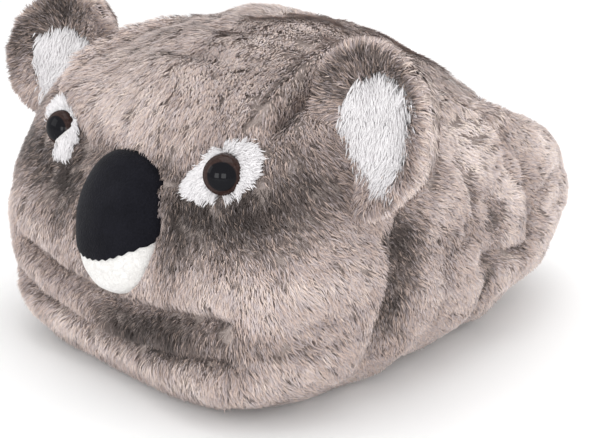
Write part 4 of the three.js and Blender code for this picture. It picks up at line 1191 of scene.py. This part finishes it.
# The nose: a stuffed egg of black velour whose pinked lower edge laps over a tip of white
# fleece. It is sewn on with its back sunk a little into the face.
NOSE_DEPTH, NOSE_TIP_SHARE = 0.034, 0.27
NOSE_BACK = 0.3  # how far it bulges behind its rim, as a share of how far in front
PINKS, PINK_DEPTH = 13, 0.0006
# counted so that the covers face outward
nose_turn = np.linspace(0, 2 * np.pi, 200, endpoint=False)[::-1]


def nose_parts(latitude, turn, swell=0.0):
    """How far the nose's skin lies across, up and out, swollen by swell."""
    level = np.maximum(np.cos(latitude), 1e-6) ** 0.86
    egg = 1 + 0.04 * np.sin(latitude)
    u = np.cos(turn) * level * egg * (NOSE_WIDTH / 2 + swell)
    v = np.sin(latitude) * (NOSE_HEIGHT / 2 + swell)
    w = np.sin(turn) * level * (NOSE_DEPTH / 2 + swell)
    return u, v, np.where(w < 0, w * NOSE_BACK, w)


def nose_skin(latitude, swell=0.0):
    return nose_seat.points(*nose_parts(latitude, nose_turn, swell))


# The pinked edge, found for each column as the latitude at which it meets the cut.
latitudes = np.linspace(-1.45, 0.6, 400)[:, None]
u, v, _ = nose_parts(latitudes, nose_turn)
bow = 0.014 * (u / (NOSE_WIDTH / 2)) ** 2 + 0.16 * u - 0.0035
zigzag = 2 / np.pi * np.arcsin(np.sin(u / NOSE_WIDTH * PINKS * 2 * np.pi)) * PINK_DEPTH
cut = -NOSE_HEIGHT / 2 + NOSE_HEIGHT * NOSE_TIP_SHARE + bow + zigzag
edge_latitude = latitudes[np.argmin(np.abs(v - cut), axis=0), 0]


def nose_velour():
    finish = Finish("nose_velour")
    pile = finish.noise(0.0011, 4)
    crush = finish.noise(0.011, 3)
    finish.bump(pile * 0.8 + crush * 0.4, 0.0007, 0.8)
    color = finish.ramp(pile * 0.6 + crush * 0.4,
                        [(0.3, (0.003, 0.003, 0.005)), (0.75, (0.011, 0.011, 0.016))])
    named = {"Sheen Weight": 0.07, "Sheen Roughness": 0.35, "Specular IOR Level": 0.1}
    return finish.give(Base_Color=color, Roughness=0.85, **named)


felt_rows = edge_latitude + (1.56 - edge_latitude) * np.linspace(0, 1, 70)[:, None]
felt = Cloth(np.concatenate([nose_skin(felt_rows[:1], -0.0006), nose_skin(felt_rows, 0.0011)]))
dents = 0.0007 * value_noise(felt.points, 0.016, 81)
felt = Cloth(felt.points - felt.normals * dents[..., None])
nose = sewn_cloth("nose_felt_cover", felt, nose_velour())
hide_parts("nose")

tip_rows = -1.565 + (edge_latitude + 0.08 + 1.565) * np.linspace(0, 1, 36)[:, None]
tip = Cloth(nose_skin(tip_rows))
tip = Cloth(tip.points - tip.normals * (0.0003 * value_noise(tip.points, 0.006, 82))[..., None])
tip_cover = sewn_cloth("nose_tip_cover", tip,
                       fleece("nose_fleece", (0.62, 0.60, 0.58), (0.92, 0.91, 0.89), 0.003))
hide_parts("nose_tip")

# The studio: a white floor under even white air, with soft lamps over, behind and in front,
# and two small windows that the eyes mirror. The camera stands as it did for the photograph.
FLOOR = 30.0
floor_corners = [(-FLOOR, -FLOOR, 0), (FLOOR, -FLOOR, 0), (FLOOR, FLOOR, 0), (-FLOOR, FLOOR, 0)]
floor_mesh = bpy.data.meshes.new("studio_floor")
floor_mesh.from_pydata(floor_corners, [], [(0, 1, 2, 3)])
floor_mesh.materials.append(Finish("studio_white").give(Base_Color=(0.92, 0.92, 0.92),
                                                        Roughness=0.8))
floor = bpy.data.objects.new("studio_floor", floor_mesh)
bpy.context.scene.collection.objects.link(floor)

world = bpy.data.worlds.new("studio_air")
world.use_nodes = True
world.node_tree.nodes["Background"].inputs["Color"].default_value = (1.0, 1.0, 1.0, 1)
world.node_tree.nodes["Background"].inputs["Strength"].default_value = 1.0
bpy.context.scene.world = world
bpy.context.scene.view_settings.view_transform = "Standard"


LAMP_TARGET = (0, 0, 0.1)
# name, place, side of the square lamp, and power
LAMPS = [
    ("over_lamp", (0.1, 0.2, 1.5), 1.2, 7),
    ("rear_lamp", (1.3, 0.8, 0.8), 0.9, 3.6),
    ("near_window", (0.77, -0.92, 0.24), 0.32, 1.5),
    ("far_window", (0.33, -1.15, 0.24), 0.32, 1.5),
    ("front_lamp", (-0.9, -1.5, 0.8), 0.9, 3.5),
]


def aimed(name, data, place, direction):
    """A lamp or camera in its place, looking in a direction."""
    holder = bpy.data.objects.new(name, data)
    holder.location = place
    holder.rotation_mode = "QUATERNION"
    holder.rotation_quaternion = direction.to_track_quat("-Z", "Y")
    bpy.context.scene.collection.objects.link(holder)
    return holder


for name, place, size, power in LAMPS:
    lamp = bpy.data.lights.new(name, "AREA")
    lamp.shape, lamp.size, lamp.energy = "SQUARE", size, power
    aimed(name, lamp, place, Vector(LAMP_TARGET) - Vector(place))

CAMERA_PLACE = (0.480, -0.5046, 0.295)
CAMERA_AZIMUTH, CAMERA_ELEVATION = math.radians(44), math.radians(19)
FRAME_WIDTH, FOCAL_PIXELS, SENSOR = 605, 1150, 36
back = Vector((math.sin(CAMERA_AZIMUTH) * math.cos(CAMERA_ELEVATION),
               -math.cos(CAMERA_AZIMUTH) * math.cos(CAMERA_ELEVATION),
               math.sin(CAMERA_ELEVATION)))
lens = bpy.data.cameras.new("camera")
lens.sensor_width, lens.lens = SENSOR, FOCAL_PIXELS * SENSOR / FRAME_WIDTH
bpy.context.scene.camera = aimed("camera", lens, CAMERA_PLACE, -back)
